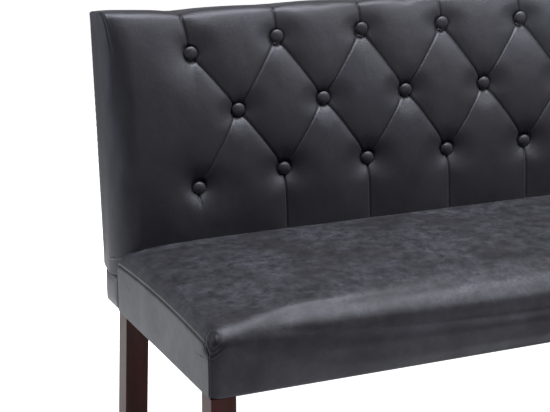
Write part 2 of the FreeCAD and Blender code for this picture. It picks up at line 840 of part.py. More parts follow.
def make_back_frame(bolt_holes):
    """Stiles, posts, rails and dowels of the back."""
    keep(group("back_frame_dowels", back_joint_rods("back_dowel", "0", "0")))
    hole_rods = back_joint_rods("back_dowel_hole", "size.fit_clearance", "size.bolt_clearance")
    dowel_holes = group("back_dowel_holes", hole_rods)
    height = "size.back_frame_height"
    post_height = "size.back_frame_height - size.top_rail_height"
    thickness = "size.stile_thickness"
    for side in SIDES:
        x = from_end(side, BACK_EDGE, thickness)
        name = f"back_{side}_stile"
        keep(cut(name, prism(name + "_bar", stile_corners(height), x, thickness), dowel_holes))
        x = f"{mirrored(side, POST_PLACE)} - {thickness} / 2"
        name = f"back_{side}_post"
        keep(cut(name, prism(name + "_bar", stile_corners(post_height), x, thickness), dowel_holes))
    top_length = f"size.bench_length - 2 * ({BACK_EDGE} + {thickness})"
    corner = (from_end("left", f"{BACK_EDGE} + {thickness}", top_length), "0", post_height)
    bar = back_box("back_top_rail_bar", corner, (top_length, "size.back_frame_depth", "size.top_rail_height"))
    keep(cut("back_top_rail", bar, dowel_holes))
    outer_length = f"({HALF} - {BACK_EDGE} - {thickness} - {POST_PLACE} - {thickness} / 2)"
    spans = {
        "left": (from_end("left", f"{BACK_EDGE} + {thickness}", outer_length), outer_length),
        "centre": (
            f"-{POST_PLACE} + {thickness} / 2",
            f"2 * {POST_PLACE} - {thickness}",
        ),
        "right": (from_end("right", f"{BACK_EDGE} + {thickness}", outer_length), outer_length),
    }
    for place, (x, length) in spans.items():
        name = f"back_{place}_bottom_rail"
        extent = (length, "size.bottom_rail_thickness", f"{BAND_TOP} - {FRAME_BASE}")
        bar = cut(name + "_bored", box(name + "_bar", (x, REAR, FRAME_BASE), extent), bolt_holes)
        keep(cut(name, bar, dowel_holes))


def make_back_bolts():
    """The bolts that join back and seat, with washers and tee nuts; returns their holes."""
    places = ("size.back_bolt_outer_place", "size.back_bolt_inner_place")
    z = f"{FRAME_BASE} + size.back_bolt_height"
    rail_face = f"{FRAME_REAR} - size.rail_thickness"
    washer_face = f"{rail_face} - size.washer_thickness"
    nut_tip = f"{REAR} + size.bottom_rail_thickness - size.nut_barrel_length"
    nut_end = f"{REAR} + size.bottom_rail_thickness + size.nut_flange_thickness"
    bolts, washers, nuts, holes = [], [], [], []
    for side in SIDES:
        for place in places:
            x = mirrored(side, place)
            name = f"back_{side}_{place[5:]}"
            shank_length = f"{nut_end} - ({washer_face})"
            shank = rod(name + "_shank", (x, washer_face, z), "size.bolt_radius", shank_length, "y")
            head_start = (x, f"{washer_face} - size.bolt_head_height", z)
            head = rod(name + "_head", head_start, "size.bolt_head_radius", "size.bolt_head_height", "y")
            bolts.append(fuse(name + "_bolt", shank, head))
            disc = rod(
                name + "_disc", (x, washer_face, z), "size.washer_radius", "size.washer_thickness", "y"
            )
            hole = rod(
                name + "_hole",
                (x, f"{washer_face} - size.overrun", z),
                "size.bolt_radius + size.bolt_clearance",
                f"{nut_end} - ({washer_face}) + 2 * size.overrun",
                "y",
            )
            washers.append(cut(name + "_washer", disc, hole))
            nuts.append(tee_nut(name + "_nut", (x, nut_tip, z), "y"))
            holes.append(fuse(name + "_way", hole, nut_pocket(name + "_pocket", (x, nut_tip, z), "y")))
    keep(group("back_bolts", bolts))
    keep(group("back_bolt_washers", washers))
    keep(group("back_bolt_tee_nuts", nuts))
    return group("back_bolt_holes", holes)


def make_band():
    """The plain band below the back cushion: thin padding and its cover."""
    depth = "(size.back_frame_depth * size.recline_cos)"
    cover_x = "(size.bench_length - 2 * size.band_inset)"
    pad_x = f"({cover_x} - 2 * size.cover_thickness)"
    frame_x = f"({pad_x} - 2 * size.band_padding)"
    pad_y = f"({depth} + size.band_padding)"
    cover_y = f"({pad_y} + size.cover_thickness)"
    inside_height = f"{BAND_TOP} - {FRAME_BASE}"

    def block(label, width, depth_text, base, height, forward):
        corner = (f"-{width} / 2", f"{REAR} - {forward}", base)
        return box(label, corner, (width, f"{depth_text} + {forward}", height))

    tall = f"{inside_height} + size.overrun"
    outer = block("band_cover_block", cover_x, cover_y, UNDER, "size.band_height", "0")
    inner = block("band_cover_room", pad_x, pad_y, FRAME_BASE, tall, "size.overrun")
    window = box(
        "band_cover_window",
        (f"-{frame_x} / 2 + size.cover_turn_under", f"{REAR} - size.overrun", f"{UNDER} - size.overrun"),
        (
            f"{frame_x} - 2 * size.cover_turn_under",
            f"{depth} - size.cover_turn_under + size.overrun",
            "size.cover_thickness + 2 * size.overrun",
        ),
    )
    keep(cut("back_band_cover", cut("band_cover_walls", outer, inner), window))
    padding = block("band_pad_block", pad_x, pad_y, FRAME_BASE, inside_height, "0")
    room = box(
        "band_pad_room",
        (f"-{frame_x} / 2", f"{REAR} - size.overrun", f"{FRAME_BASE} - size.overrun"),
        (frame_x, f"{depth} + size.overrun", f"{inside_height} + 2 * size.overrun"),
    )
    keep(cut("back_band_pad", padding, room))


# Buttons: three rows, the middle one set half a step along


def button_rows():
    """Places of the buttons as (x, w) expressions, row by row from the top."""
    columns = int(size("button_columns"))
    reach = f"({HALF} - size.button_margin)"
    rows = {}
    for name, step, shift in (("top", 2, 0.0), ("middle", 1, 0.5), ("bottom", 0, 0.0)):
        count = columns if shift == 0.0 else columns - 1
        row = []
        for index in range(count):
            x = f"(-{reach} + {BUTTON_STEP} * {index + shift})"
            dip = f"size.button_end_dip * exp(-({reach} - abs({x})) / size.button_dip_reach)"
            row.append((x, f"(size.button_low_row + {step} * {ROW_STEP} - {dip})"))
        rows[name] = row
    return rows


def button_shape():
    """A covered button: a flat back, a short rim and a dome."""
    body = doc.addObject("PartDesign::Body", "button_pattern")
    radius, rim, height = size("button_radius"), size("button_rim"), size("button_height")
    sketch = body.newObject("Sketcher::SketchObject", "button_outline")
    plane = [part for part in body.Origin.OriginFeatures if part.Role == "XZ_Plane"]
    sketch.AttachmentSupport = [(plane[0], "")]
    sketch.MapMode = "FlatFace"
    rise = height - rim
    sphere = (radius**2 + rise**2) / (2 * rise)
    start = math.asin((sphere - rise) / sphere)
    circle = Part.Circle(Vector(0, height - sphere, 0), Vector(0, 0, 1), sphere)
    sketch.addGeometry(Part.LineSegment(Vector(0, 0, 0), Vector(radius, 0, 0)))
    sketch.addGeometry(Part.LineSegment(Vector(radius, 0, 0), Vector(radius, rim, 0)))
    sketch.addGeometry(Part.ArcOfCircle(circle, start, math.pi / 2))
    sketch.addGeometry(Part.LineSegment(Vector(0, height, 0), Vector(0, 0, 0)))
    for first, first_end, second, second_end in ((0, 2, 1, 1), (1, 2, 2, 1), (2, 2, 3, 1), (3, 2, 0, 1)):
        joined = Sketcher.Constraint("Coincident", first, first_end, second, second_end)
        sketch.addConstraint(joined)
    sketch.addConstraint(Sketcher.Constraint("Coincident", 0, 1, -1, 1))
    sketch.addConstraint(Sketcher.Constraint("Horizontal", 0))
    sketch.addConstraint(Sketcher.Constraint("Vertical", 1))
    sketch.addConstraint(Sketcher.Constraint("Vertical", 3))
    sketch.addConstraint(Sketcher.Constraint("PointOnObject", 2, 3, -2))
    bound = (
        ("DistanceX", 0, 2, radius, "size.button_radius"),
        ("DistanceY", 1, 2, rim, "size.button_rim"),
        ("DistanceY", 2, 2, height, "size.button_height"),
    )
    for kind, edge, end, start_value, text in bound:
        number = sketch.addConstraint(Sketcher.Constraint(kind, edge, end, start_value))
        sketch.setExpression(f"Constraints[{number}]", text)
    revolution = body.newObject("PartDesign::Revolution", "button_turn")
    revolution.Profile = sketch
    revolution.ReferenceAxis = (sketch, ["V_Axis"])
    revolution.Angle = 360
    doc.recompute()
    return body


def make_buttons(rows):
    """Buttons, the twine that holds them and the anchors behind the panel; returns the tie holes."""
    pattern = button_shape()
    ties, anchors, holes = [], [], []
    for row_name, row in rows.items():
        buttons = []
        for index, (x, w) in enumerate(row):
            name = f"{row_name}_{index}"
            button = doc.addObject("App::Link", name + "_button")
            button.LinkedObject = pattern
            turn(button, Vector(1, 0, 0), "90 - size.recline_angle")
            buttons.append(put(button, (x, *back_point(BUTTON_SEAT, w))))
            start = (x, BUTTON_SEAT, w)
            ties.append(back_rod(name + "_tie", start, "size.tie_radius", f"-{BUTTON_SEAT}", "v"))
            anchor_start = (x, "0", w)
            anchors.append(
                back_rod(
                    name + "_anchor", anchor_start, "size.anchor_radius", "size.anchor_thickness", "v"
                )
            )
            hole_start = (x, f"{BUTTON_SEAT} - size.overrun", w)
            hole_length = f"-{BUTTON_SEAT} + 2 * size.overrun"
            holes.append(back_rod(name + "_tie_hole", hole_start, "size.tie_hole_radius", hole_length, "v"))
        keep(group(f"back_{row_name}_buttons", buttons))
    keep(group("button_ties", ties))
    keep(group("button_anchors", anchors))
    return group("tie_holes", holes)


def make_panel(tie_holes):
    """The thin board in front of the frame that the buttons are tied to."""
    width = f"size.bench_length - 2 * {BACK_EDGE}"
    corner = (f"-{HALF} + {BACK_EDGE}", "-size.panel_thickness", PANEL_FOOT)
    extent = (width, "size.panel_thickness", f"size.back_frame_height - {PANEL_FOOT}")
    keep(cut("tufting_panel", back_box("tufting_board", corner, extent), tie_holes))


# Back cushion and its covers, drawn as sections across the bench in the back's axes


def seat_drop(distance):
    """How far the seat lies below its crown at a distance from the bench's end."""
    stations = crown_stations(size("cover_thickness"))
    drops = [(place, size("seat_end_drop") * (1 - rise)) for place, rise in stations]
    if distance <= drops[0][0]:
        return drops[0][1]
    for (near, near_drop), (far, far_drop) in zip(drops, drops[1:]):
        if distance <= far:
            return near_drop + (far_drop - near_drop) * (distance - near) / (far - near)
    return 0.0


def back_section(x, inset, lining, opening):
    """Side outline of the back cushion at x, drawn in by an inset and lined at its foot.

    An opening carries the outline past the faces that stay open.
    """
    lean_slope = size("recline_sin") / size("recline_cos")
    wall = size("cover_thickness")
    least = size("back_least_radius")
    distance = size("bench_length") / 2 - abs(x)
    face = value(CROWN_FACE) + inset
    rear = size("back_frame_depth") + size("rear_padding") + wall - inset
    top = size("back_frame_height") + size("top_padding") + wall - inset
    foot = value(BACK_FOOT) - seat_drop(distance) / size("recline_cos")
    foot += lining
    top_round = max(size("back_top_radius") - inset, least)
    rear_round = max(size("back_rear_radius") - inset, least)
    foot_round = max(size("back_front_foot_radius") - inset, least)
    low_round = max(size("back_foot_radius") - inset, least)
    low = size("cover_gap") - opening
    low_rear = low + (rear - low_round) * lean_slope
    slant = math.sqrt(0.5)

    def point(v, w):
        return Vector(x, v, w)

    def corner(v_sign, w_sign, centre_v, centre_w, radius):
        return point(centre_v + v_sign * radius * slant, centre_w + w_sign * radius * slant)

    low_front = point(-opening, low)
    low_end = point(rear - low_round, low_rear)
    rear_start = point(rear, low_rear + low_round)
    rear_end = point(rear, top - rear_round)
    top_start = point(rear - rear_round, top)
    top_end = point(face + top_round, top)
    face_start = point(face, top - top_round)
    face_end = point(face, foot + foot_round)
    foot_start = point(face + foot_round, foot)
    foot_end = point(-opening, foot)
    edges = [
        Part.LineSegment(low_front, low_end),
        Part.Arc(low_end, corner(1, -1, rear - low_round, low_rear + low_round, low_round), rear_start),
        Part.LineSegment(rear_start, rear_end),
        Part.Arc(rear_end, corner(1, 1, rear - rear_round, top - rear_round, rear_round), top_start),
        Part.LineSegment(top_start, top_end),
        Part.Arc(top_end, corner(-1, 1, face + top_round, top - top_round, top_round), face_start),
        Part.LineSegment(face_start, face_end),
        Part.Arc(face_end, corner(-1, -1, face + foot_round, foot + foot_round, foot_round), foot_start),
        Part.LineSegment(foot_start, foot_end),
        Part.LineSegment(foot_end, low_front),
    ]
    return Part.Wire([edge.toShape() for edge in edges])


def back_block(inset, opening):
    """The back cushion's shape without its tufts, drawn in by an inset."""
    half = size("bench_length") / 2
    end_round = size("back_end_radius")
    stations = []
    for share in END_TURN_SHARES:
        angle = share * math.pi / 2
        x = half - end_round + (end_round - inset) * math.sin(angle)
        stations.append((x, inset + (end_round - inset) * (1 - math.cos(angle))))
    for distance, _ in crown_stations(size("cover_thickness")):
        if distance > end_round:
            stations.append((half - distance, inset))
    left = [back_section(-x, drawn_in, inset, opening) for x, drawn_in in stations]
    right = [back_section(x, drawn_in, inset, opening) for x, drawn_in in reversed(stations)]
    return Part.makeLoft(left + right, True, True)


def flank(width, depth):
    """Radius, and the sine and cosine at half way, of an arc that starts level and falls."""
    radius = (width**2 + depth**2) / (2 * depth)
    half_angle = math.asin(width / radius) / 2
    return radius, math.sin(half_angle), math.cos(half_angle)


def pleat_room(start, end):
    """What a pleat takes out of the cushion between two points of its face."""
    reach = size("pleat_reach")
    lip = size("pleat_lip")
    face = value(CROWN_FACE)
    radius, sine, cosine = flank(reach, size("pleat_depth") + lip)
    run = Vector(end[0] - start[0], 0, end[1] - start[1])
    across = Vector(run.z, 0, -run.x)
    across.normalize()

    def point(side, v):
        return Vector(start[0], v, start[1]) + across * side

    middle_side = reach - radius * sine
    middle_v = face - lip + radius * (1 - cosine)
    bottom = point(0, face + size("pleat_depth"))
    clear = face - lip - size("overrun")
    edges = [
        Part.Arc(point(-reach, face - lip), point(-middle_side, middle_v), bottom),
        Part.Arc(bottom, point(middle_side, middle_v), point(reach, face - lip)),
        Part.LineSegment(point(reach, face - lip), point(reach, clear)),
        Part.LineSegment(point(reach, clear), point(-reach, clear)),
        Part.LineSegment(point(-reach, clear), point(-reach, face - lip)),
    ]
    return Part.Face(Part.Wire([edge.toShape() for edge in edges])).extrude(run)


def dimple_room(place):
    """What a button pulls in round itself."""
    floor = size("dimple_floor_radius")
    rim = size("dimple_radius")
    lip = size("pleat_lip")
    face = value(CROWN_FACE)
    bottom = face + size("button_sink")
    radius, sine, cosine = flank(rim - floor, size("button_sink") + lip)
    clear = face - lip - size("overrun")

    def point(out, v):
        return Vector(place[0] + out, v, place[1])

    middle = point(rim - radius * sine, face - lip + radius * (1 - cosine))
    edges = [
        Part.LineSegment(point(0, clear), point(0, bottom)),
        Part.LineSegment(point(0, bottom), point(floor, bottom)),
        Part.Arc(point(floor, bottom), middle, point(rim, face - lip)),
        Part.LineSegment(point(rim, face - lip), point(rim, clear)),
        Part.LineSegment(point(rim, clear), point(0, clear)),
    ]
    disc = Part.Face(Part.Wire([edge.toShape() for edge in edges]))
    return disc.revolve(Vector(place[0], 0, place[1]), Vector(0, 1, 0), 360)


def tuft_rooms(rows):
    """All pleats and dimples: diagonals between rows, uprights above and below."""
    places = {name: [(value(x), value(w)) for x, w in row] for name, row in rows.items()}
    top_edge = size("back_frame_height") + size("top_padding") + size("overrun")
    low_edge = value(BACK_FOOT) - size("seat_end_drop")
    rooms = []
    for index, middle in enumerate(places["middle"]):
        for name in ("top", "bottom"):
            for neighbour in places[name][index:index + 2]:
                rooms.append(pleat_room(neighbour, middle))
    for x, w in places["top"]:
        rooms.append(pleat_room((x, w), (x, top_edge)))
    for x, w in places["bottom"]:
        rooms.append(pleat_room((x, w), (x, low_edge)))
    for row in places.values():
        rooms += [dimple_room(place) for place in row]
    return rooms[0].multiFuse(rooms[1:])


def make_back_cushion(rows, tie_holes):
    """Front, edge and rear foam of the back, and its front and rear covers."""
    length = size("bench_length")
    height = size("back_frame_height")
    depth = size("back_frame_depth")
    panel = size("panel_thickness")
    wall = size("cover_thickness")
    overrun = size("overrun")
    gap = wall + size("cover_gap")
    rooms = tuft_rooms(rows)

    def tufted(inset, opening):
        return back_block(inset, opening).cut(rooms.translated(Vector(0, inset, 0)))

    def slab(start, thickness):
        corner = Vector(-length, start, -height)
        return Part.makeBox(2 * length, thickness, 3 * height, corner)

    def placed(label, shape):
        return lean_back(shaped(label, shape), "0", "0", "0")

    shell = tufted(0, 0).cut(tufted(wall, overrun))
    seam = depth + size("rear_padding") + wall - size("rear_seam_setback")
    rear_zone = slab(seam, length)
    front_cover = placed("back_front_cover_shell", shell.cut(rear_zone))
    keep(cut("back_front_cover", front_cover, tie_holes))
    keep(placed("back_rear_cover", shell.common(rear_zone)))
    foam = tufted(gap, 0)
    front_pad = placed("back_front_pad_block", foam.common(slab(-length, length - panel)))
    keep(cut("back_front_pad", front_pad, tie_holes))
    edge = value(BACK_EDGE)
    frame_room = Part.makeBox(
        length - 2 * edge,
        panel + depth + 2 * overrun,
        2 * height,
        Vector(edge - length / 2, -panel - overrun, -height),
    )
    keep(placed("back_edge_pad", foam.common(slab(-panel, panel + depth)).cut(frame_room)))
    keep(placed("back_rear_pad", foam.common(slab(depth, length))))


def check_document():
    """Stop if any object failed or any piece has no sound shape."""
    doc.recompute()
    for thing in doc.Objects:
        if "Invalid" in thing.State or "Error" in thing.State:
            raise RuntimeError(f"{thing.Label} failed: {thing.State}")
    for piece in pieces:
        if piece.Shape.isNull() or not piece.Shape.isValid() or not piece.Shape.Solids:
            raise RuntimeError(f"{piece.Label} has no sound shape")


def write_pieces():
    """Write each piece to its own file."""
    os.makedirs("parts", exist_ok=True)
    for piece in pieces:
        piece.Shape.exportStep(f"parts/{piece.Label}.step")
        print(f"{piece.Label}: {len(piece.Shape.Solids)} solids, {piece.Shape.Volume:.0f} mm3")


def main():
    leg_holes = make_legs()
    back_bolt_holes = make_back_bolts()
    make_seat_frame(leg_holes, back_bolt_holes)
    make_straps()
    make_seat_cushion(leg_holes, back_bolt_holes)
    make_dust_cover()
    make_back_frame(back_bolt_holes)
    rows = button_rows()
    tie_holes = make_buttons(rows)
    make_panel(tie_holes)
    make_back_cushion(rows, tie_holes)
    make_band()
    check_document()
    write_pieces()


main()
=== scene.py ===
# %% [markdown]
# # An upholstered bench with a button-tufted back
# The imported CAD model comes in as a fixed frame: legs, bolts, wooden frames and straps.
# The soft pieces are then made here and take the place of their plain CAD solids.

# %% Load the frame
import bpy
import json
import math
import numpy as np
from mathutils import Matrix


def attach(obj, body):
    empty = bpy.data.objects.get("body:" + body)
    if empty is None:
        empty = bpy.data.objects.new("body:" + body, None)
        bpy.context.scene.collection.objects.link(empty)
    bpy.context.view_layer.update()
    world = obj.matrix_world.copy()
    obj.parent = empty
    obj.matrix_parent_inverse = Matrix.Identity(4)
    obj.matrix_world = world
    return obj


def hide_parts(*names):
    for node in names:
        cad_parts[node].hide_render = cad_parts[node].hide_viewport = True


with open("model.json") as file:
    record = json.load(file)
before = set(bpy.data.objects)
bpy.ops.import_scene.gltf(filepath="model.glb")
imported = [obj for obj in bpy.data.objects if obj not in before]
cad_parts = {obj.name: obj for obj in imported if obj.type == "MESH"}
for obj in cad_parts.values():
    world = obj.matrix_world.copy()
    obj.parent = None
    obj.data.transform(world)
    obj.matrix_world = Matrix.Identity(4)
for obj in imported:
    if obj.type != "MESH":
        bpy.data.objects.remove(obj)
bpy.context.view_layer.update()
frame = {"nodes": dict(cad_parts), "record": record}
scene = bpy.context.scene
nodes = frame["nodes"]

# %% [markdown]
# The photograph was taken from the front left, from above the back's top edge, with a long lens.
# A long lens far away keeps the seat's edges nearly parallel, so the camera stands about 3 m off.
# Its place and its two angles were worked out from the legs, the seat's corners and the back's edges.

# %% Camera
CAMERA_PLACE = (-1.556, -2.416, 1.317)
LOOK_DOWN = 15.53
LOOK_RIGHT = 24.01
bpy.ops.object.camera_add(
    location=CAMERA_PLACE,
    rotation=(math.radians(90 - LOOK_DOWN), 0, math.radians(-LOOK_RIGHT)),
)
camera = bpy.context.object
camera.data.lens = 97.4
scene.camera = camera
scene.view_settings.view_transform = "Standard"
print("camera lens", camera.data.lens)

# %% [markdown]
# The bench stands on a pale floor in front of nothing: the photograph's background is pure white.
# The floor is a plain sheet that scatters light and also glows for the camera alone, so it reads as
# white while the bench's shadow can still be seen on it. In reflections it glows round one spot behind
# the left end, which lights the dark end faces the way a bright studio floor does.

# %% Floor
GLOW_SPOT = (-0.7, 0.8, 0)
GLOW_FADES = (0.55, 1.6)
FLOOR_GLOW = 0.95


def feed(tree, value, socket):
    if isinstance(value, (int, float)):
        socket.default_value = value
    else:
        tree.links.new(value, socket)


def math_node(tree, kind, first, second):
    node = tree.nodes.new("ShaderNodeMath")
    node.operation = kind
    feed(tree, first, node.inputs[0])
    feed(tree, second, node.inputs[1])
    return node.outputs[0]


def map_range(tree, value, source, target):
    node = tree.nodes.new("ShaderNodeMapRange")
    for name, number in zip(("From Min", "From Max", "To Min", "To Max"), (*source, *target)):
        node.inputs[name].default_value = number
    tree.links.new(value, node.inputs["Value"])
    return node.outputs[0]


def seen_rays(tree):
    rays = tree.nodes.new("ShaderNodeLightPath")
    direct = math_node(tree, "MAXIMUM", rays.outputs["Is Camera Ray"], rays.outputs["Is Transmission Ray"])
    return direct, rays.outputs["Is Glossy Ray"]


bpy.ops.mesh.primitive_plane_add(size=40)
floor = bpy.context.object
floor.name = "studio_floor"
floor_paint = bpy.data.materials.new("pale_floor")
floor_paint.use_nodes = True
tree = floor_paint.node_tree
paint = tree.nodes["Principled BSDF"]
paint.inputs["Base Color"].default_value = (0.82, 0.82, 0.82, 1)
paint.inputs["Roughness"].default_value = 0.9
paint.inputs["Specular IOR Level"].default_value = 0.1
paint.inputs["Emission Color"].default_value = (1, 1, 1, 1)
spot = tree.nodes.new("ShaderNodeTexCoord")
far = tree.nodes.new("ShaderNodeVectorMath")
far.operation = "DISTANCE"
far.inputs[1].default_value = GLOW_SPOT
tree.links.new(spot.outputs["Object"], far.inputs[0])
glow = map_range(tree, far.outputs["Value"], GLOW_FADES, (1.0, 0.06))
direct, glossy = seen_rays(tree)
mirrored = math_node(tree, "MULTIPLY", glossy, glow)
direct = math_node(tree, "MULTIPLY", direct, FLOOR_GLOW)
tree.links.new(math_node(tree, "MAXIMUM", direct, mirrored), paint.inputs["Emission Strength"])
floor.data.materials.append(floor_paint)
print("floor", floor.name)

# %% [markdown]
# Round about, the camera sees nothing but white. In reflections the room is a dim grey, brighter
# behind the bench than in front of it, so the leather keeps its deep tone.

# %% White surroundings
ROOM_LIGHT = 0.07
world = bpy.data.worlds.new("white_room")
scene.world = world
world.use_nodes = True
tree = world.node_tree
sky = tree.nodes["Background"]
sky.inputs["Color"].default_value = (1, 1, 1, 1)
where = tree.nodes.new("ShaderNodeSeparateXYZ")
tree.links.new(tree.nodes.new("ShaderNodeTexCoord").outputs["Generated"], where.inputs[0])
backdrop = map_range(tree, where.outputs["Y"], (-0.35, 0.35), (0.09, 0.35))
direct, glossy = seen_rays(tree)
mirrored = math_node(tree, "MULTIPLY", glossy, backdrop)
direct = math_node(tree, "MAXIMUM", direct, mirrored)
tree.links.new(math_node(tree, "MAXIMUM", direct, ROOM_LIGHT), sky.inputs["Strength"])
print("surroundings", world.name)

# %% [markdown]
# Soft studio light comes from three large panels. A faintly blue one at the left lights the end faces,
# one above makes the seat's roll and the back's top edge shine, and one high up in front, at the right,
# lights the tilted upper diamonds of the back more than the upright lower ones.

# %% Lights
def softbox(name, place, target, size, power, tint=(1, 1, 1)):
    bpy.ops.object.light_add(type="AREA", location=place)
    lamp = bpy.context.object
    lamp.name = name
    lamp.data.shape = "RECTANGLE"
    lamp.data.size, lamp.data.size_y = size
    lamp.data.energy = power
    lamp.data.color = tint
    way = [b - a for a, b in zip(place, target)]
    flat = math.hypot(way[0], way[1])
    lamp.rotation_euler = (math.atan2(flat, -way[2]), 0, math.atan2(-way[0], way[1]))


softbox("left_panel", (-2.8, 1.1, 1.2), (-0.5, 0.1, 0.6), (2.4, 1.8), 21, (0.86, 0.90, 1.0))
softbox("top_panel", (0.0, -0.30, 2.6), (0.0, 0.0, 0.5), (2.4, 0.9), 116)
softbox("front_panel", (1.5, -1.35, 1.95), (0.35, 0.15, 0.78), (1.8, 0.7), 34)
print("three soft panels of light")

# %% [markdown]
# Every finish is built from the same few shader nodes: a noise for patches, a ramp that turns it into
# colours, a mix and a bump. Short functions make them.
# The patterns lie in the object's own coordinates, in metres, so they keep their scale on every piece.

# %% Shader nodes
def new_finish(name):
    finish = bpy.data.materials.new(name)
    finish.use_nodes = True
    tree = finish.node_tree
    place = tree.nodes.new("ShaderNodeTexCoord")
    return finish, tree, tree.nodes["Principled BSDF"], place.outputs["Object"]


def noise(tree, place, scale, detail, rough=0.5, stretch=None):
    node = tree.nodes.new("ShaderNodeTexNoise")
    node.inputs["Scale"].default_value = scale
    node.inputs["Detail"].default_value = detail
    node.inputs["Roughness"].default_value = rough
    if stretch:
        turn = tree.nodes.new("ShaderNodeMapping")
        turn.inputs["Scale"].default_value = stretch
        tree.links.new(place, turn.inputs["Vector"])
        place = turn.outputs["Vector"]
    tree.links.new(place, node.inputs["Vector"])
    return node.outputs["Fac"]


def ramp(tree, value, stops):
    node = tree.nodes.new("ShaderNodeValToRGB")
    node.color_ramp.elements[0].position = stops[0][0]
    node.color_ramp.elements[0].color = (*stops[0][1], 1)
    node.color_ramp.elements[1].position = stops[-1][0]
    node.color_ramp.elements[1].color = (*stops[-1][1], 1)
    for position, colour in stops[1:-1]:
        node.color_ramp.elements.new(position).color = (*colour, 1)
    tree.links.new(value, node.inputs["Fac"])
    return node.outputs["Color"]


def blend(tree, kind, factor, first, second):
    node = tree.nodes.new("ShaderNodeMix")
    node.data_type = "RGBA"
    node.blend_type = kind
    feed(tree, factor, node.inputs[0])
    tree.links.new(first, node.inputs[6])
    tree.links.new(second, node.inputs[7])
    return node.outputs[2]


def bump(tree, height, distance, strength, under=None):
    node = tree.nodes.new("ShaderNodeBump")
    node.inputs["Distance"].default_value = distance
    node.inputs["Strength"].default_value = strength
    tree.links.new(height, node.inputs["Height"])
    if under:
        tree.links.new(under, node.inputs["Normal"])
    return node.outputs["Normal"]


def grey(level, blue=1.25):
    return (level, level * 0.99, level * blue)


print("shader node helpers ready")

# %% [markdown]
# The cover is a matte, worn-looking leather cloth in anthracite with a touch of blue.
# A real one has a fine pebbled grain, lighter scuffed patches and a soft sheen at grazing angles.
# Three noises make patches, scuffs and pits; the last two fade below the seat's top, where nobody sits.
# A cell pattern makes the grain, and two more noises the small creases and slight waves.

# %% Leather
SEAT_TOP = (0.440, 0.476)
PEBBLES_PER_METRE = 620
COOL_LIGHT = (0.82, 0.86, 1, 1)


def make_leather(name, dark, light, wear, shine, dull):
    finish, tree, shader, place = new_finish(name)
    height = tree.nodes.new("ShaderNodeSeparateXYZ")
    tree.links.new(place, height.inputs[0])
    upside = map_range(tree, height.outputs["Z"], SEAT_TOP, (0.3, 1.0))
    broad = noise(tree, place, 8, 5, 0.62)
    middle = noise(tree, place, 40, 7, 0.66)
    fine = noise(tree, place, 150, 4, 0.6)
    patches = ramp(tree, broad, [(0.36, (dark, dark * 0.93, dark * 1.08)), (0.64, grey(light))])
    worn = ramp(tree, middle, [(0.34, grey(1 - wear, 1)), (0.52, (1, 1, 1)), (0.68, grey(1 + wear, 1))])
    light_pits = grey(1 + 0.5 * wear, 1)
    pits = ramp(tree, fine, [(0.33, grey(1 - wear, 1)), (0.43, (1, 1, 1)), (0.72, light_pits)])
    flaws = blend(tree, "MULTIPLY", 1, worn, pits)
    plain = tree.nodes.new("ShaderNodeRGB").outputs[0]
    plain.default_value = (1, 1, 1, 1)
    flaws = blend(tree, "MIX", upside, plain, flaws)
    tree.links.new(blend(tree, "MULTIPLY", 1, patches, flaws), shader.inputs["Base Color"])
    rubbed = ramp(tree, broad, [(0.36, grey(dull, 1)), (0.64, grey(0.9 * dull, 1))])
    tree.links.new(rubbed, shader.inputs["Roughness"])
    pebbles = tree.nodes.new("ShaderNodeTexVoronoi")
    pebbles.inputs["Scale"].default_value = PEBBLES_PER_METRE
    tree.links.new(place, pebbles.inputs["Vector"])
    grain = bump(tree, pebbles.outputs["Distance"], 0.0005, 0.32)
    creases = bump(tree, noise(tree, place, 95, 4, 0.6), 0.0012, 0.22, grain)
    waves = bump(tree, noise(tree, place, 17, 4, 0.55), 0.0060, 0.14, creases)
    tree.links.new(waves, shader.inputs["Normal"])
    shader.inputs["Specular IOR Level"].default_value = shine
    shader.inputs["Specular Tint"].default_value = (0.84, 0.86, 1, 1)
    shader.inputs["Sheen Weight"].default_value = 0.07
    shader.inputs["Sheen Roughness"].default_value = 0.45
    shader.inputs["Sheen Tint"].default_value = COOL_LIGHT
    return finish


back_leather = make_leather("back_leather", dark=0.008, light=0.013, wear=0.10, shine=0.40, dull=0.48)
# The buttons' copy of the leather is painted lighter: painted light for the light their faces catch.
button_leather_painted_light = make_leather("button_leather_painted_light", dark=0.015, light=0.026, wear=0.10, shine=0.40, dull=0.46)
seat_leather = make_leather("seat_leather", dark=0.007, light=0.022, wear=0.80, shine=0.32, dull=0.50)
print("leather finishes", back_leather.name, button_leather_painted_light.name, seat_leather.name)

# %% [markdown]
# The legs are lacquered hardwood, almost black with a red-brown glow under a smooth clear coat.
# The grain runs up the leg, so its noise is squeezed along Z; a thin coat gives the soft gloss.
# The hidden frame is plain light wood with its grain along the bench.

# %% Lacquered wood and plain wood
def make_wood(name, dark, light, gloss, coat, stretch):
    finish, tree, shader, place = new_finish(name)
    fibre = noise(tree, place, 60, 6, 0.6, stretch)
    tree.links.new(ramp(tree, fibre, [(0.34, dark), (0.68, light)]), shader.inputs["Base Color"])
    tree.links.new(bump(tree, fibre, 0.0006, 0.15), shader.inputs["Normal"])
    shader.inputs["Roughness"].default_value = gloss
    shader.inputs["Coat Weight"].default_value = coat
    shader.inputs["Coat Roughness"].default_value = 0.14
    shader.inputs["Specular IOR Level"].default_value = 0.08
    return finish


LACQUER_DARK = (0.024, 0.0048, 0.0042)
LACQUER_LIGHT = (0.048, 0.0095, 0.0080)
leg_lacquer = make_wood("leg_lacquer", LACQUER_DARK, LACQUER_LIGHT, 0.42, 0.09, (1, 1, 0.06))
frame_wood = make_wood("frame_wood", (0.42, 0.27, 0.15), (0.62, 0.44, 0.27), 0.6, 0.0, (0.06, 1, 1))
print("wood finishes", leg_lacquer.name, frame_wood.name)

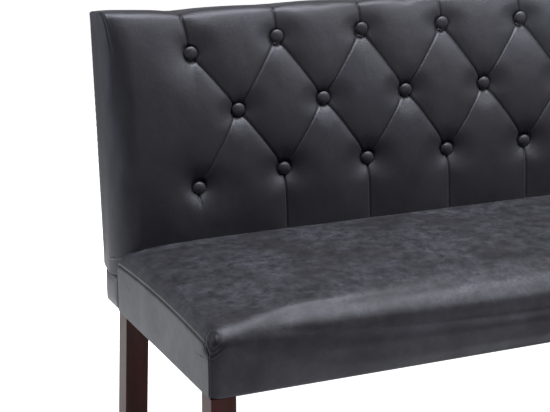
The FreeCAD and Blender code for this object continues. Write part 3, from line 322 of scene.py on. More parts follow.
# %% [markdown]
# Few of the remaining solids show: the plastic glides, a black dust cloth with its staples, and
# inside the bench the straps, foam and zinc-plated fittings. Each still gets its own small pattern.

# %% Small finishes
def make_plain(name, first, second, scale, rough, metal=0.0, weave=None):
    finish, tree, shader, place = new_finish(name)
    value = noise(tree, place, scale, 5, 0.6)
    tree.links.new(ramp(tree, value, [(0.35, first), (0.65, second)]), shader.inputs["Base Color"])
    height = value
    if weave:
        threads = tree.nodes.new("ShaderNodeTexWave")
        threads.inputs["Scale"].default_value = weave
        threads.inputs["Distortion"].default_value = 0.6
        tree.links.new(place, threads.inputs["Vector"])
        height = threads.outputs["Fac"]
    tree.links.new(bump(tree, height, 0.0004, 0.4), shader.inputs["Normal"])
    shader.inputs["Roughness"].default_value = rough
    shader.inputs["Metallic"].default_value = metal
    return finish


finishes = {
    "leg_lacquer": leg_lacquer,
    "frame_wood": frame_wood,
    "glide_plastic": make_plain("glide_plastic", (0.012, 0.012, 0.013), (0.022, 0.022, 0.023), 300, 0.45),
    "zinc_steel": make_plain("zinc_steel", (0.46, 0.46, 0.44), (0.62, 0.62, 0.60), 160, 0.35, 1.0),
    "strap_cloth": make_plain("strap_cloth", (0.22, 0.17, 0.11), (0.34, 0.27, 0.18), 90, 0.85, 0.0, 320),
    "dust_cloth": make_plain("dust_cloth", (0.010, 0.010, 0.011), (0.020, 0.020, 0.021), 140, 0.9, 0.0, 480),
    "foam": make_plain("foam", (0.62, 0.57, 0.42), (0.76, 0.71, 0.56), 420, 0.95),
    "cover_leather": back_leather,
}
for row in frame["record"]["subparts"]:
    skin = nodes[row["node"]].data
    skin.materials.clear()
    skin.materials.append(finishes[row["material_slot"]])
print("painted", len(nodes), "CAD nodes")

# %% [markdown]
# The soft pieces share most of these measures with the CAD model, in metres.
# The back leans 5.2 degrees, so its cushion is worked on upright, in its own axes:
# x along the bench, v from front to rear and w up. The last step leans it back in its mesh.

# %% Measures of the soft pieces
END = 0.730  # half the seat's length
BACK_END = 0.7325  # half the back cushion's length
FRONT = -0.30276
REAR = 0.18024
UNDER = 0.355  # the seat's underside
LEAN = math.radians(5.2)
BACK_FOOT = 0.415  # the height where the back's own axes start
CROWN = -0.0460  # the back cushion's fullest line, in front of its frame
BACK = 0.082  # its rear face
REAR_ROLL = 0.030
END_ROLL = 0.045
HALF_STEP = 0.092  # half the distance between two buttons of a row
OUTER_COLUMN = 6 * HALF_STEP
ROWS = (0.193, 0.322, 0.451)
BUTTON_DEPTH = (0.019, 0.018, 0.012)
button_places = [(k * 2 * HALF_STEP, row) for row in (0, 2) for k in range(-3, 4)]
button_places += [((2 * k + 1) * HALF_STEP, 1) for k in range(-3, 3)]
print("buttons", len(button_places))

# %% [markdown]
# Nothing on upholstery is quite straight. Towards the ends the seat's top drops in a quarter ellipse, the
# last buttons of each row sit lower, and on the photographed part the buttons stand a little to the left
# of even columns.

# %% Drops, dips and the lean
SEAT_DROP = 0.025
DROP_START = 0.610
DROP_RUN = 0.120
ROW_DIP = 0.025


def seat_drop(x):
    run = np.clip((np.abs(x) - DROP_START) / DROP_RUN, 0, 1)
    return SEAT_DROP * (1 - np.sqrt(1 - 0.999 * run ** 2))


def row_dip(x):
    return ROW_DIP * np.exp(-np.abs(np.abs(x) - OUTER_COLUMN) / 0.100)


def lean(x, v, w):
    y = REAR + v * math.cos(LEAN) + w * math.sin(LEAN)
    z = BACK_FOOT - v * math.sin(LEAN) + w * math.cos(LEAN)
    return np.stack([x, y, z], axis=-1)


def sideways(x, w):
    """How far a point of the tufted sheet lies beside its even place."""
    stations = [END_ROLL - BACK_END, -OUTER_COLUMN, -0.40, 0.10, OUTER_COLUMN]
    aside = np.interp(x, stations, [0, -0.014, -0.018, -0.018, 0])
    fold_lean = np.clip((w - ROWS[2]) / 0.07, 0, 1) * np.exp(-((np.abs(x) - OUTER_COLUMN) / 0.06) ** 2)
    return aside + 0.012 * np.sign(x) * fold_lean


print("the outer buttons hang", round(float(row_dip(OUTER_COLUMN)) * 1000), "mm lower")

# %% [markdown]
# The shapes below are worked out as arrays of points, so a few short functions pass them to and fro.
# Lines and arcs leave out their last point, because the next stretch of the outline starts there.

# %% Outlines and points
def line(a, b, steps):
    return [(a[0] + (b[0] - a[0]) * i / steps, a[1] + (b[1] - a[1]) * i / steps) for i in range(steps)]


def arc(centre, radius, start, end, steps):
    turn = [math.radians(start + (end - start) * i / steps) for i in range(steps)]
    return [(centre[0] + radius * math.cos(t), centre[1] + radius * math.sin(t)) for t in turn]


def read_points(piece, what="co"):
    flat = np.empty(len(piece.data.vertices) * 3)
    piece.data.vertices.foreach_get(what, flat)
    return flat.reshape(-1, 3)


def read_mark(piece, mark):
    values = np.empty(len(piece.data.vertices))
    piece.data.attributes[mark].data.foreach_get("value", values)
    return values


def write_points(piece, points):
    piece.data.vertices.foreach_set("co", points.ravel())
    piece.data.update()


print("outline helpers ready")

# %% [markdown]
# Upholstery is a flat sheet pulled over a form, so both cushions start as a grid primitive.
# The grid is rolled into a sleeve: each column becomes one outline of the cushion, seen from the end,
# and the rows run along the bench. Points of the grid can then lie exactly on the pleats,
# which a voxel mesh can't do. The two open ends are filled and the roll's edges are merged.

# %% A grid rolled into a sleeve
def rolled_sleeve(name, points, marks):
    columns, rows = points.shape[0] - 1, points.shape[1] - 1
    bpy.ops.mesh.primitive_grid_add(x_subdivisions=columns, y_subdivisions=rows, size=2)
    piece = bpy.context.object
    piece.name = name
    mesh = piece.data
    flat = read_points(piece)
    i = np.rint((flat[:, 0] + 1) / 2 * columns).astype(int)
    j = np.rint((flat[:, 1] + 1) / 2 * rows).astype(int)
    mesh.vertices.foreach_set("co", points[i, j].ravel())
    for mark, values in marks.items():
        layer = mesh.attributes.new(mark, "FLOAT", "POINT")
        layer.data.foreach_set("value", values[i, j].astype(np.float32))
    bpy.ops.object.mode_set(mode="EDIT")
    bpy.ops.mesh.select_all(action="SELECT")
    bpy.ops.mesh.remove_doubles(threshold=0.00005)
    bpy.ops.mesh.fill_holes(sides=0)
    bpy.ops.mesh.select_all(action="SELECT")
    bpy.ops.mesh.normals_make_consistent(inside=False)
    bpy.ops.object.mode_set(mode="OBJECT")
    return piece


print("sleeve helper ready")

# %% [markdown]
# Seen from the end, the front of the back cushion is one slow bow that ends in a small roll.
# It is worked out as a real sheet lies: its tilt is set for every length of cloth from the foot up,
# and adding up the sines and cosines of that tilt gives how far it goes back and how high it rises.

# %% Profile of the back
FOOT = 0.0585
FULLEST = 0.200
BOW = 0.60
LAST_BOW = 0.20
LAST_BOW_START = 0.44
ROLL_START = 0.4985
ROLL_RADIUS = 0.022
roll_tilt = BOW * (ROLL_START - FULLEST) + LAST_BOW
ROLL_END = ROLL_START + ROLL_RADIUS * (math.pi / 2 - roll_tilt)
runs_up = np.linspace(FOOT, ROLL_END, 600)
last_share = np.clip((runs_up - LAST_BOW_START) / (ROLL_START - LAST_BOW_START), 0, 1)
angles = BOW * (runs_up - FULLEST) + LAST_BOW * last_share ** 2
angles = np.where(runs_up > ROLL_START, roll_tilt + (runs_up - ROLL_START) / ROLL_RADIUS, angles)
steps = np.diff(runs_up)
back_run = np.concatenate([[0], np.cumsum(np.sin(angles[:-1]) * steps)])
back_run -= np.interp(FULLEST, runs_up, back_run)
up_run = FOOT + np.concatenate([[0], np.cumsum(np.cos(angles[:-1]) * steps)])
TOP = float(up_run[-1])


def at_run(run, values):
    return np.interp(run, runs_up, values)


print("the back's front is", round(TOP - FOOT, 3), "m high")

# %% [markdown]
# One outline of the back: up the front, over the roll, down the rear and along the bottom, with a step
# where it stands on the seat's rear edge. Towards the ends the front draws back on a quarter circle,
# which gives the rounded sides, and the rows bend down to the lower end buttons.

# %% Outline of the back cushion
FINE = 16  # grid cells between two rows of buttons
OFF_SHEET = 9.0  # marks the points behind the front sheet
BOTTOM_ROLL = 0.016
TOE = 0.005
TOP_RUN = 0.030  # cloth on the level top, as far as it is marked


def top_lift(x):
    """The top edge stands up at the ends and is pulled down by the last pleats."""
    stations = [0.40, 0.50, OUTER_COLUMN, 0.62, 0.70, 0.73]
    return np.interp(abs(x), stations, [-0.0012, -0.003, -0.0042, -0.001, 0.0032, 0.0042])


def bent_rows(run, dip):
    """How far up the sheet a row lies once the end buttons have pulled it down."""
    if run < ROWS[0]:
        share = max(0.0, (run - FOOT) / (ROWS[0] - FOOT))
    elif run <= ROWS[2]:
        share = 1.0
    else:
        share = max(0.0, 1 - (run - ROWS[2]) / (ROLL_END - ROWS[2]))
    return run - dip * share


def back_outline(inset, drop, dip, lift):
    reach = 0.010 * min(1.0, inset / 0.004)
    rear, top = BACK - 0.2 * inset, TOP + lift - 0.10 * inset
    rear_roll = REAR_ROLL - 0.5 * inset
    roll_share = max(0.6, 1 - 20 * inset)
    foot = FOOT - drop + 0.1 * inset
    runs = []
    for low, high in ((FOOT, ROWS[0]), (ROWS[0], ROWS[1]), (ROWS[1], ROWS[2])):
        runs += [low + (high - low) * i / FINE for i in range(FINE)]
    runs += [ROWS[2] + (ROLL_END - ROWS[2]) * i / 17 for i in range(17)]
    points = []
    for run in runs:
        bent = bent_rows(run, dip)
        rise = (bent - FOOT) / (ROLL_END - FOOT)
        height = float(at_run(bent, up_run)) + rise * (top - TOP) + (1 - rise) * (foot + TOE - FOOT)
        drawn_back = inset * float(np.interp(bent, [0.22, 0.38, 0.50], [1.75, 1.40, 1.05]))
        points.append((CROWN + drawn_back + float(at_run(bent, back_run)) * roll_share, height))
    crest = CROWN + 1.05 * inset + float(back_run[-1]) * roll_share
    front = points[0][0]
    heel = max(-0.0058 - reach, front + 0.006)
    points += line((crest, top), (rear - rear_roll, top), 7)
    points += arc((rear - rear_roll, top - rear_roll), rear_roll, 90, 0, 12)
    points += line((rear, top - rear_roll), (rear, 2 * BOTTOM_ROLL), 30)
    points += arc((rear - BOTTOM_ROLL, 2 * BOTTOM_ROLL), BOTTOM_ROLL, 0, -90, 5)
    points += line((rear - BOTTOM_ROLL, BOTTOM_ROLL), (heel + 0.0063, 0.009), 5)
    points += line((heel + 0.0063, 0.009), (heel, foot), 8)
    points += line((heel, foot), (front + TOE, foot), 6)
    points += arc((front + TOE, foot + TOE), TOE, 270, 180, 4)
    sheet = runs + [ROLL_END + TOP_RUN * i / 7 for i in range(7)]
    sheet += [OFF_SHEET] * (len(points) - len(sheet))
    return np.array(points + points[:1]), np.array(sheet + sheet[:1])


print("an outline of the back has", len(back_outline(0, 0, 0, 0)[0]), "points")

# %% [markdown]
# The columns of the grid: sixteen cells to half a button step, so that a column lies on every button
# and every pleat crosses the cells from corner to corner, then the plain end and its quarter turn.

# %% Columns of the back
back_level = BACK_END - END_ROLL
inner = [k * HALF_STEP + HALF_STEP * i / FINE for k in range(-6, 6) for i in range(FINE)]
inner.append(OUTER_COLUMN)
plain_end = [OUTER_COLUMN + (back_level - OUTER_COLUMN) * i / 16 for i in range(1, 17)]
end_turns = [math.pi / 2 * i / 18 for i in range(1, 19)]
right = [(x, 0.0) for x in plain_end]
right += [(back_level + END_ROLL * math.sin(t), END_ROLL * (1 - math.cos(t))) for t in end_turns]
back_columns = [(-x, e) for x, e in reversed(right)] + [(x, 0.0) for x in inner] + right
drawn = []
for x, e in back_columns:
    drawn.append(back_outline(e, float(seat_drop(x)), float(row_dip(x)), float(top_lift(x))))
outlines = np.array([points for points, sheet in drawn])
sheet_w = np.array([sheet for points, sheet in drawn])
sheet_x = np.repeat(np.array([x for x, e in back_columns])[:, None], outlines.shape[1], axis=1)
print("back sleeve", outlines.shape)

# %% [markdown]
# Deep buttoning: every button pulls the sheet towards the panel behind the foam, and the spare cloth
# between the buttons is folded into pleats. Here the pleats run from each middle button to its four
# neighbours, straight up from the top row and straight down from the bottom row.

# %% Where the pleats run
UP_PLEAT = 0.105
DOWN_PLEAT = 0.128
END_PLEAT = 0.055


def pleat_lines():
    lines = []
    for x, row in button_places:
        if row == 1:
            for side in (-1, 1):
                rise, fall = ("rise", "fall") if side > 0 else ("fall", "rise")
                lines.append(((x, ROWS[1]), (x + side * HALF_STEP, ROWS[2]), rise))
                lines.append(((x, ROWS[1]), (x + side * HALF_STEP, ROWS[0]), fall))
        elif row == 2:
            lines.append(((x, ROWS[2]), (x, ROWS[2] + UP_PLEAT), "up"))
        else:
            kind, reach = ("short", END_PLEAT) if abs(x) > 0.5 else ("down", DOWN_PLEAT)
            lines.append(((x, ROWS[0]), (x, ROWS[0] - reach), kind))
    return lines


def to_pleat(x, w, pleat):
    (ax, aw), (bx, bw), kind = pleat
    share = ((x - ax) * (bx - ax) + (w - aw) * (bw - aw)) / ((bx - ax) ** 2 + (bw - aw) ** 2)
    share = np.clip(share, 0, 1)
    away = np.hypot(x - ax - share * (bx - ax), w - aw - share * (bw - aw))
    return share, away


print("pleats", len(pleat_lines()))

# %% [markdown]
# How far a point lies from the nearest pleat decides how deep it is drawn in. A pleat has a sharp lip on
# one side and a wider tuck on the other, where the cloth dives under its neighbour. The dimples of the
# buttons are blended in, and the padding thins out towards the ends of the bench.

# %% How deep the sheet is drawn in
PLEAT_REACH = 0.080
TUCK_WIDTH = 2.2
BUTTON_SEAT = 0.0135
DIMPLE_REACH = 0.085


def tucked_side(x, w, pleat):
    """The side of a pleat where the cloth dives under the lip of its neighbour."""
    (ax, aw), (bx, bw), kind = pleat
    if kind == "rise":
        return np.zeros(x.shape, dtype=bool)
    if kind == "fall":
        return (w - aw) * abs(bx - ax) > (x - ax) * (bw - aw) * np.sign(bx - ax)
    return x > ax


def pleat_depth(share, kind):
    if kind == "fall":
        return 0.0085 + 0.0050 * (2 * share - 1) ** 2
    if kind == "rise":
        return 0.0065 + 0.0050 * (2 * share - 1) ** 2
    if kind == "up":
        return 0.0110 - 0.0050 * share - 0.005 * np.clip((share - 0.62) / 0.38, 0, 1) ** 2
    if kind == "short":
        return 0.0110 * (1 - share) ** 1.3
    return 0.0120 * (1 - 0.62 * share)


def tuft_depth(x, w):
    depth = np.zeros_like(x)
    for pleat in pleat_lines():
        share, away = to_pleat(x, w, pleat)
        wide = np.clip(1 - away / PLEAT_REACH, 0, 1) ** 2
        near, width = (0.50, 0.0050) if pleat[2] == "fall" else (0.40, 0.0040)
        lip = near * np.exp(-away / width) + (1 - near) * wide
        tuck = near * np.exp(-away / width / TUCK_WIDTH) + (1 - near) * wide
        fall = np.where(tucked_side(x, w, pleat), tuck, lip)
        depth = np.maximum(depth, pleat_depth(share, pleat[2]) * fall)
    dimple = np.zeros_like(x)
    for bx, row in button_places:
        away = np.hypot(x - bx, w - ROWS[row])
        sink = np.clip(1 - np.clip(away - BUTTON_SEAT, 0, None) / DIMPLE_REACH, 0, 1)
        dimple = np.maximum(dimple, BUTTON_DEPTH[row] * sink ** 3.3)
    return (depth ** 3 + dimple ** 3) ** (1 / 3)


def crown_fall(x):
    """The padding thins out towards the ends of the bench."""
    return 0.004 * np.clip((np.abs(x) - 0.50) / 0.20, 0, 1.15) ** 2


print("a pleat is up to", round(float(pleat_depth(0, "fall")) * 1000, 1), "mm deep")

# %% [markdown]
# The sheet is now drawn in, square to its own tilt, and rolled into the sleeve of the back cushion.
# Its even places along the sheet go with it as marks, so the creases can find the pleats again later.

# %% Back cushion, drawn in at its buttons
FRONT_SHEET = 5  # marks above this belong to the rear and the bottom
pull = np.where(sheet_w < FRONT_SHEET, tuft_depth(sheet_x, sheet_w), 0)
fade = np.clip((ROLL_END - sheet_w) / 0.17, 0, 1)
at_button = np.clip(pull / BUTTON_DEPTH[0], 0, 1)
pull = pull + np.where(sheet_w < FRONT_SHEET, crown_fall(sheet_x), 0) * fade * (1 - at_button)
turned = [min(1, max(0, (abs(x) - BACK_END + END_ROLL) / END_ROLL)) for x, e in back_columns]
round_off = np.array([math.cos(math.asin(sine)) for sine in turned])
pull = pull * round_off[:, None]
tilt = np.clip(at_run(sheet_w, angles), 0, None)
v = outlines[..., 0] + pull * np.cos(tilt)
w = outlines[..., 1] - pull * np.sin(tilt)
end_turn = np.arcsin(np.clip((np.abs(sheet_x) - BACK_END + END_ROLL) / END_ROLL, 0, 1)) * END_ROLL
tufted_back = rolled_sleeve(
    "tufted_back",
    np.stack([sheet_x + sideways(sheet_x, sheet_w), v, w], axis=-1),
    {"sheet_x": sheet_x, "sheet_w": sheet_w, "end_turn": end_turn},
)
print("back cushion", len(tufted_back.data.vertices), "points")

# %% [markdown]
# The foam under the cover pushes it out between the places where it is held.
# Blender's Cloth does that with air pressure: some points are held, the rest swells for a few frames,
# is ironed smooth, and may go no further than a cap. The result is written back into the mesh, so no
# simulation is left on the piece.

# %% Swelling by cloth simulation
def swell(piece, held, pressure, cap, slack, ironing, frames=14):
    group = piece.vertex_groups.new(name="held")
    group.add([int(i) for i in np.nonzero(held)[0]], 1.0, "REPLACE")
    cloth = piece.modifiers.new("swelling", "CLOTH")
    cloth.settings.quality = 4
    cloth.settings.mass = 0.3
    cloth.settings.tension_stiffness = 18
    cloth.settings.compression_stiffness = 18
    cloth.settings.shear_stiffness = 8
    cloth.settings.bending_stiffness = 1.5
    cloth.settings.shrink_min = -slack
    cloth.settings.use_pressure = True
    cloth.settings.uniform_pressure_force = pressure
    cloth.settings.vertex_group_mass = "held"
    cloth.settings.effector_weights.gravity = 0
    cloth.point_cache.frame_end = frames
    start = read_points(piece)
    for step in range(1, frames + 1):
        scene.frame_set(step)
    shown = piece.evaluated_get(bpy.context.evaluated_depsgraph_get())
    move = read_points(shown) - start
    edges = np.empty(len(piece.data.edges) * 2, dtype=np.int32)
    piece.data.edges.foreach_get("vertices", edges)
    a, b = edges[0::2], edges[1::2]
    count = np.bincount(edges, minlength=len(start))[:, None]
    for _ in range(ironing):
        total = np.zeros_like(move)
        np.add.at(total, a, move[b])
        np.add.at(total, b, move[a])
        move = np.where(held[:, None], 0, 0.5 * move + 0.5 * total / count)
    length = np.linalg.norm(move, axis=1)
    move *= np.minimum(1, cap / np.maximum(length, 1e-9))[:, None]
    piece.modifiers.remove(cloth)
    piece.vertex_groups.remove(group)
    scene.frame_set(1)
    write_points(piece, start + move)
    return float(np.minimum(length, cap).max())


print("swelling is", "simulated")

# %% [markdown]
# What holds the cover on the back: the pleats, the buttons, the foot and the two ends. Each point looks
# up its nearest pleat: how far off it is, how deep the pleat is there, and which way the fold lies.
# The slight slack lets the sheet bulge between them without pulling the pleats out of place.

# %% The back swells
def nearest_pleat(x, w):
    best = np.full(x.shape, np.inf)
    strength, aside_x, aside_w = np.zeros((3, *x.shape))
    for pleat in pleat_lines():
        (ax, aw), (bx, bw), kind = pleat
        share, away = to_pleat(x, w, pleat)
        nearer = away < best
        best = np.where(nearer, away, best)
        strength = np.where(nearer, pleat_depth(share, kind), strength)
        aside_x = np.where(nearer, x - ax - share * (bx - ax), aside_x)
        aside_w = np.where(nearer, w - aw - share * (bw - aw), aside_w)
    return best, strength, aside_x, aside_w


mark_x, mark_w = read_mark(tufted_back, "sheet_x"), read_mark(tufted_back, "sheet_w")
place = read_points(tufted_back)
pleat_gap, pleat_force, aside_x, aside_w = nearest_pleat(mark_x, mark_w)
held = (pleat_gap < 0.0008) & (pleat_force > 0.003)
for bx, row in button_places:
    held |= np.hypot(mark_x - bx, mark_w - ROWS[row]) < BUTTON_SEAT
held |= (np.abs(place[:, 0]) > BACK_END - 0.0005) | (place[:, 2] < FOOT + 0.012)
moved = swell(tufted_back, held, pressure=1.2, cap=0.008, slack=0.002, ironing=6)
print("back cushion swelled by up to", round(moved * 1000, 1), "mm")

# %% [markdown]
# The swollen sheet is made finer, and only then do the pleats get their sharp crease: the cloth beside a
# fold is drawn towards it and a narrow groove is pushed in along it. Each button gets a well of its own.

# %% Creases and button wells
CREASE = 0.0022  # half its width
GATHER = 0.0075
WELL = 0.0120
WELL_DEPTH = 0.0050


def subdivide_once(piece):
    bpy.ops.object.select_all(action="DESELECT")
    piece.select_set(True)
    bpy.context.view_layer.objects.active = piece
    finer = piece.modifiers.new("finer", "SUBSURF")
    finer.levels = 1
    finer.render_levels = 1
    finer.use_limit_surface = False
    bpy.ops.object.modifier_apply(modifier=finer.name)
    bpy.ops.object.shade_smooth()


subdivide_once(tufted_back)
mark_x, mark_w = read_mark(tufted_back, "sheet_x"), read_mark(tufted_back, "sheet_w")
place, outward = read_points(tufted_back), read_points(tufted_back, "normal")
mark_turn = read_mark(tufted_back, "end_turn")
pleat_gap, pleat_force, aside_x, aside_w = nearest_pleat(mark_x, mark_w)
fold_depth = np.interp(mark_w, [0.44, 0.46, 0.50, 0.52], [0.0080, 0.0045, 0.0045, 0.0065])
fold = fold_depth * np.clip(pleat_force / 0.010, 0, 1) * np.clip(1 - pleat_gap / CREASE, 0, 1)
fold[mark_w > FRONT_SHEET] = 0
drawn_in = np.where(mark_w < FRONT_SHEET, 0.86 * np.clip(1 - pleat_gap / GATHER, 0, 1), 0)
drawn_in = drawn_in * np.clip(pleat_force / 0.006, 0, 1)
place[:, 0] -= aside_x * drawn_in
place[:, 2] -= aside_w * drawn_in
for bx, row in button_places:
    away = np.hypot(mark_x - bx, mark_w - ROWS[row])
    fold += WELL_DEPTH * np.clip(1 - (away - WELL) / (0.5 * WELL), 0, 1)
print("deepest crease", round(float(fold.max()) * 1000, 1), "mm")

# %% [markdown]
# At each top corner the spare cloth is folded once, and the rear panel is sewn on in a seam that is a
# groove as well. At last the cushion is leaned back, in its mesh, so the object itself stays unturned.

# %% Corner folds, rear seam and lean
REAR_SEAM = 0.0745
upper = np.clip((np.where(mark_w > FRONT_SHEET, 0, mark_w) - 0.44) / 0.06, 0, 1)
corner_run = np.interp(mark_w, [0.44, 0.49, 0.525, 0.55], [0.036, 0.046, 0.057, 0.064])
fold += 0.0034 * upper * np.clip(1 - np.abs(mark_turn - corner_run) / CREASE, 0, 1)
fold -= 0.0012 * upper * np.exp(-((corner_run - mark_turn - 0.006) / 0.005) ** 2)
seam = 0.0022 * np.clip(1 - np.abs(place[:, 1] - REAR_SEAM) / 0.003, 0, 1)
seam[(place[:, 2] < 0.03) & (np.abs(place[:, 0]) < 0.69)] = 0
place = place - outward * (fold + seam)[:, None]
write_points(tufted_back, lean(place[:, 0], place[:, 1], place[:, 2]))
tufted_back.data.materials.append(back_leather)
print("creased back", len(tufted_back.data.polygons), "faces")

# %% [markdown]
# The seat is a firm foam slab with a crowned top. Its cover runs in one piece up the front, over a
# soft roll and to the rear; flat side panels are sewn on below the top edge.
# It is rolled from a grid in the same way, with extra columns that close each end.

# %% Outline of the seat
SEAT_EDGE = 0.020
CREST = 0.482
REAR_RISE = 0.004
CROWN_RISE = 0.0075
FRONT_ROLL = 0.030
SEAT_REAR_ROLL = 0.018
LEAST_ROLL = 0.002


def fuller(x):
    return np.clip((END - np.abs(x)) / 0.60, 0, 1)


def seat_outline(inset, close, drop, middle):
    front = FRONT + 0.001 + 0.5 * inset + close
    rear = REAR - 0.0002 - 0.10 * inset - close
    under = UNDER - 0.0020 + 0.15 * inset + close
    crest = CREST - drop - inset - close
    roll = max(FRONT_ROLL + 0.018 * middle - 0.5 * inset - close, LEAST_ROLL)
    rear_roll = max(SEAT_REAR_ROLL - 0.5 * inset - close, LEAST_ROLL)
    start, stop = FRONT + FRONT_ROLL + 0.001, REAR - SEAT_REAR_ROLL - 0.001
    points = line((front, under), (front, crest - roll), 14)
    points += arc((front + roll, crest - roll), roll, 180, 90, 10)
    left_y, right_y = front + roll, rear - rear_roll
    for i in range(48):
        y = left_y + (right_y - left_y) * i / 48
        t = min(1, max(0, (y - start) / (stop - start)))
        points.append((y, crest + REAR_RISE * t + 4 * CROWN_RISE * t * (1 - t)))
    points += arc((right_y, crest + REAR_RISE - rear_roll), rear_roll, 90, 0, 6)
    points += line((rear, crest + REAR_RISE - rear_roll), (rear, under), 10)
    points += line((rear, under), (front, under), 24)
    return np.array(points + points[:1])


print("an outline of the seat has", len(seat_outline(0, 0, 0, 1)), "points")

# %% [markdown]
# The columns of the seat run straight along the bench, turn down on a small quarter circle at each end
# and then close in on the flat side panel. Each point keeps its distance from the side seam as a mark.

# %% The seat's sleeve
SEAM = 0.0255  # cloth between the top's level part and the seam
SEAM_POINTS = 84  # the seam runs along the front, the top and part of the rear
FAR_OFF = 9.0
level = END - SEAT_EDGE
middle = [(-level + 2 * level * i / 120, 0.0, 0.0, -1.0) for i in range(121)]
turns = [math.pi / 2 * i / 12 for i in range(1, 13)]
ending = []
for t in turns:
    ending.append((level + SEAT_EDGE * math.sin(t), SEAT_EDGE * (1 - math.cos(t)), 0.0, SEAT_EDGE * t))
for close in (0.002, 0.005, 0.009, 0.014, 0.020):
    ending.append((END, SEAT_EDGE, close, SEAT_EDGE * math.pi / 2 + close))
seat_columns = [(-x, e, c, run) for x, e, c, run in reversed(ending)] + middle + ending
rings = []
for x, e, c, run in seat_columns:
    rings.append(seat_outline(e, c, float(seat_drop(x)), float(fuller(x))))
rings = np.array(rings)
seat_x = np.repeat(np.array([c[0] for c in seat_columns])[:, None], rings.shape[1], axis=1)
edge_run = np.repeat(np.array([c[3] for c in seat_columns])[:, None], rings.shape[1], axis=1)
seam_run = np.full(rings.shape[1], -FAR_OFF)
seam_run[:SEAM_POINTS] = SEAM
seam_gap = np.where((edge_run < 0) | (seam_run < 0), FAR_OFF, edge_run - seam_run)
seat_grid = np.stack([seat_x, rings[..., 0], rings[..., 1]], axis=-1)
seat_cushion = rolled_sleeve("seat_cushion", seat_grid, {"seam_gap": seam_gap})
print("seat sleeve", rings.shape)

# %% [markdown]
# The seat swells a little as well: less than the back, because the foam is firm and the cover tight.
# Its underside, its two ends and the rear edge are held. Then its mesh is made finer too.

# %% The seat swells
place = read_points(seat_cushion)
held = (place[:, 2] < UNDER + 0.004) | (np.abs(place[:, 0]) > level - 0.002) | (place[:, 1] > REAR - 0.02)
moved = swell(seat_cushion, held, pressure=1.6, cap=0.006, slack=0.0, ironing=12)
subdivide_once(seat_cushion)
print("seat swelled by up to", round(moved * 1000, 1), "mm")

# %% [markdown]
# The finer mesh gets what the needle and use have left: a groove along each side seam with a slightly
# raised hem beside it, a soft lip where the front roll has sagged forward, and small puckers at the front
# corners. Underneath, the sheet is lifted a little, so that the frame's dust cover shows below it.

# %% Seams, lip and puckers of the seat
CLOTH_TOP = 0.3557  # of the dust cover
CLOTH_MIDDLE = -0.0615
CLOTH_HALF = (0.7205, 0.2320)
seat_gap = read_mark(seat_cushion, "seam_gap")
place, outward = read_points(seat_cushion), read_points(seat_cushion, "normal")
groove = 0.0020 * np.clip(1 - np.abs(seat_gap) / CREASE, 0, 1)
hem = 0.0007 * ((seat_gap < -0.002) & (seat_gap > -0.0115))
lip_height = 0.462 - 0.012 * fuller(place[:, 0]) - seat_drop(place[:, 0])
above = place[:, 2] - lip_height
lip = np.exp(-(above / np.where(above > 0, 0.013, 0.040)) ** 2) * (place[:, 1] < -0.24)
corner = np.hypot(np.abs(place[:, 0]) - 0.722, np.hypot(place[:, 1] + 0.288, place[:, 2] - 0.448))
ripples = np.sin((place[:, 1] - place[:, 2] + place[:, 0]) * 700)
pucker = 0.0013 * np.exp(-(corner / 0.024) ** 2) * ripples
place = place + outward * (hem - groove + pucker)[:, None]
place[:, 1] -= 0.0040 * lip * np.clip((0.728 - np.abs(place[:, 0])) / 0.02, 0, 1)
over_cloth = np.abs(place[:, 0]) < CLOTH_HALF[0]
over_cloth &= np.abs(place[:, 1] - CLOTH_MIDDLE) < CLOTH_HALF[1]
place[over_cloth & (place[:, 2] < CLOTH_TOP), 2] = CLOTH_TOP
write_points(seat_cushion, place)
seat_cushion.data.materials.append(seat_leather)
print("seat cushion", len(seat_cushion.data.polygons), "faces")

# %% [markdown]
# The side seams are sewn twice: two rows of stitches run beside the seam on the top cover.
# One stitch is a small cylinder with its ends drawn in; its points and faces are kept for the copies.

# %% One stitch
STITCH = 0.0036
bpy.ops.mesh.primitive_cylinder_add(vertices=6, radius=0.00042, depth=STITCH * 0.78)
stitch = bpy.context.object
bpy.ops.object.mode_set(mode="EDIT")
bpy.ops.mesh.select_all(action="SELECT")
bpy.ops.mesh.bevel(offset=0.00022, segments=1, affect="EDGES")
bpy.ops.object.mode_set(mode="OBJECT")
stitch_points = read_points(stitch)
stitch_faces = [list(face.vertices) for face in stitch.data.polygons]
bpy.data.objects.remove(stitch)
print("a stitch has", len(stitch_faces), "faces")

# %% [markdown]
# The stitches follow lines of the grid that keep one distance from the seam. Each is set onto the
# finished cushion where it comes nearest, turned along the row, so the thread dips with the leather.

# %% Stitches on the side seams
SEWN_POINTS = range(17, 80)  # from the front roll to the top of the rear edge


def seam_row(side, beside):
    """Points of the grid that keep one distance from a side seam, from front to rear."""
    half = len(seat_columns) - len(ending)
    block = seat_grid[half:] if side > 0 else seat_grid[:len(ending)][::-1]
    runs = np.array([c[3] for c in ending])
    row = []
    for j in SEWN_POINTS:
        row.append([np.interp(SEAM + beside, runs, block[:, j, k]) for k in range(3)])
    return np.array(row)


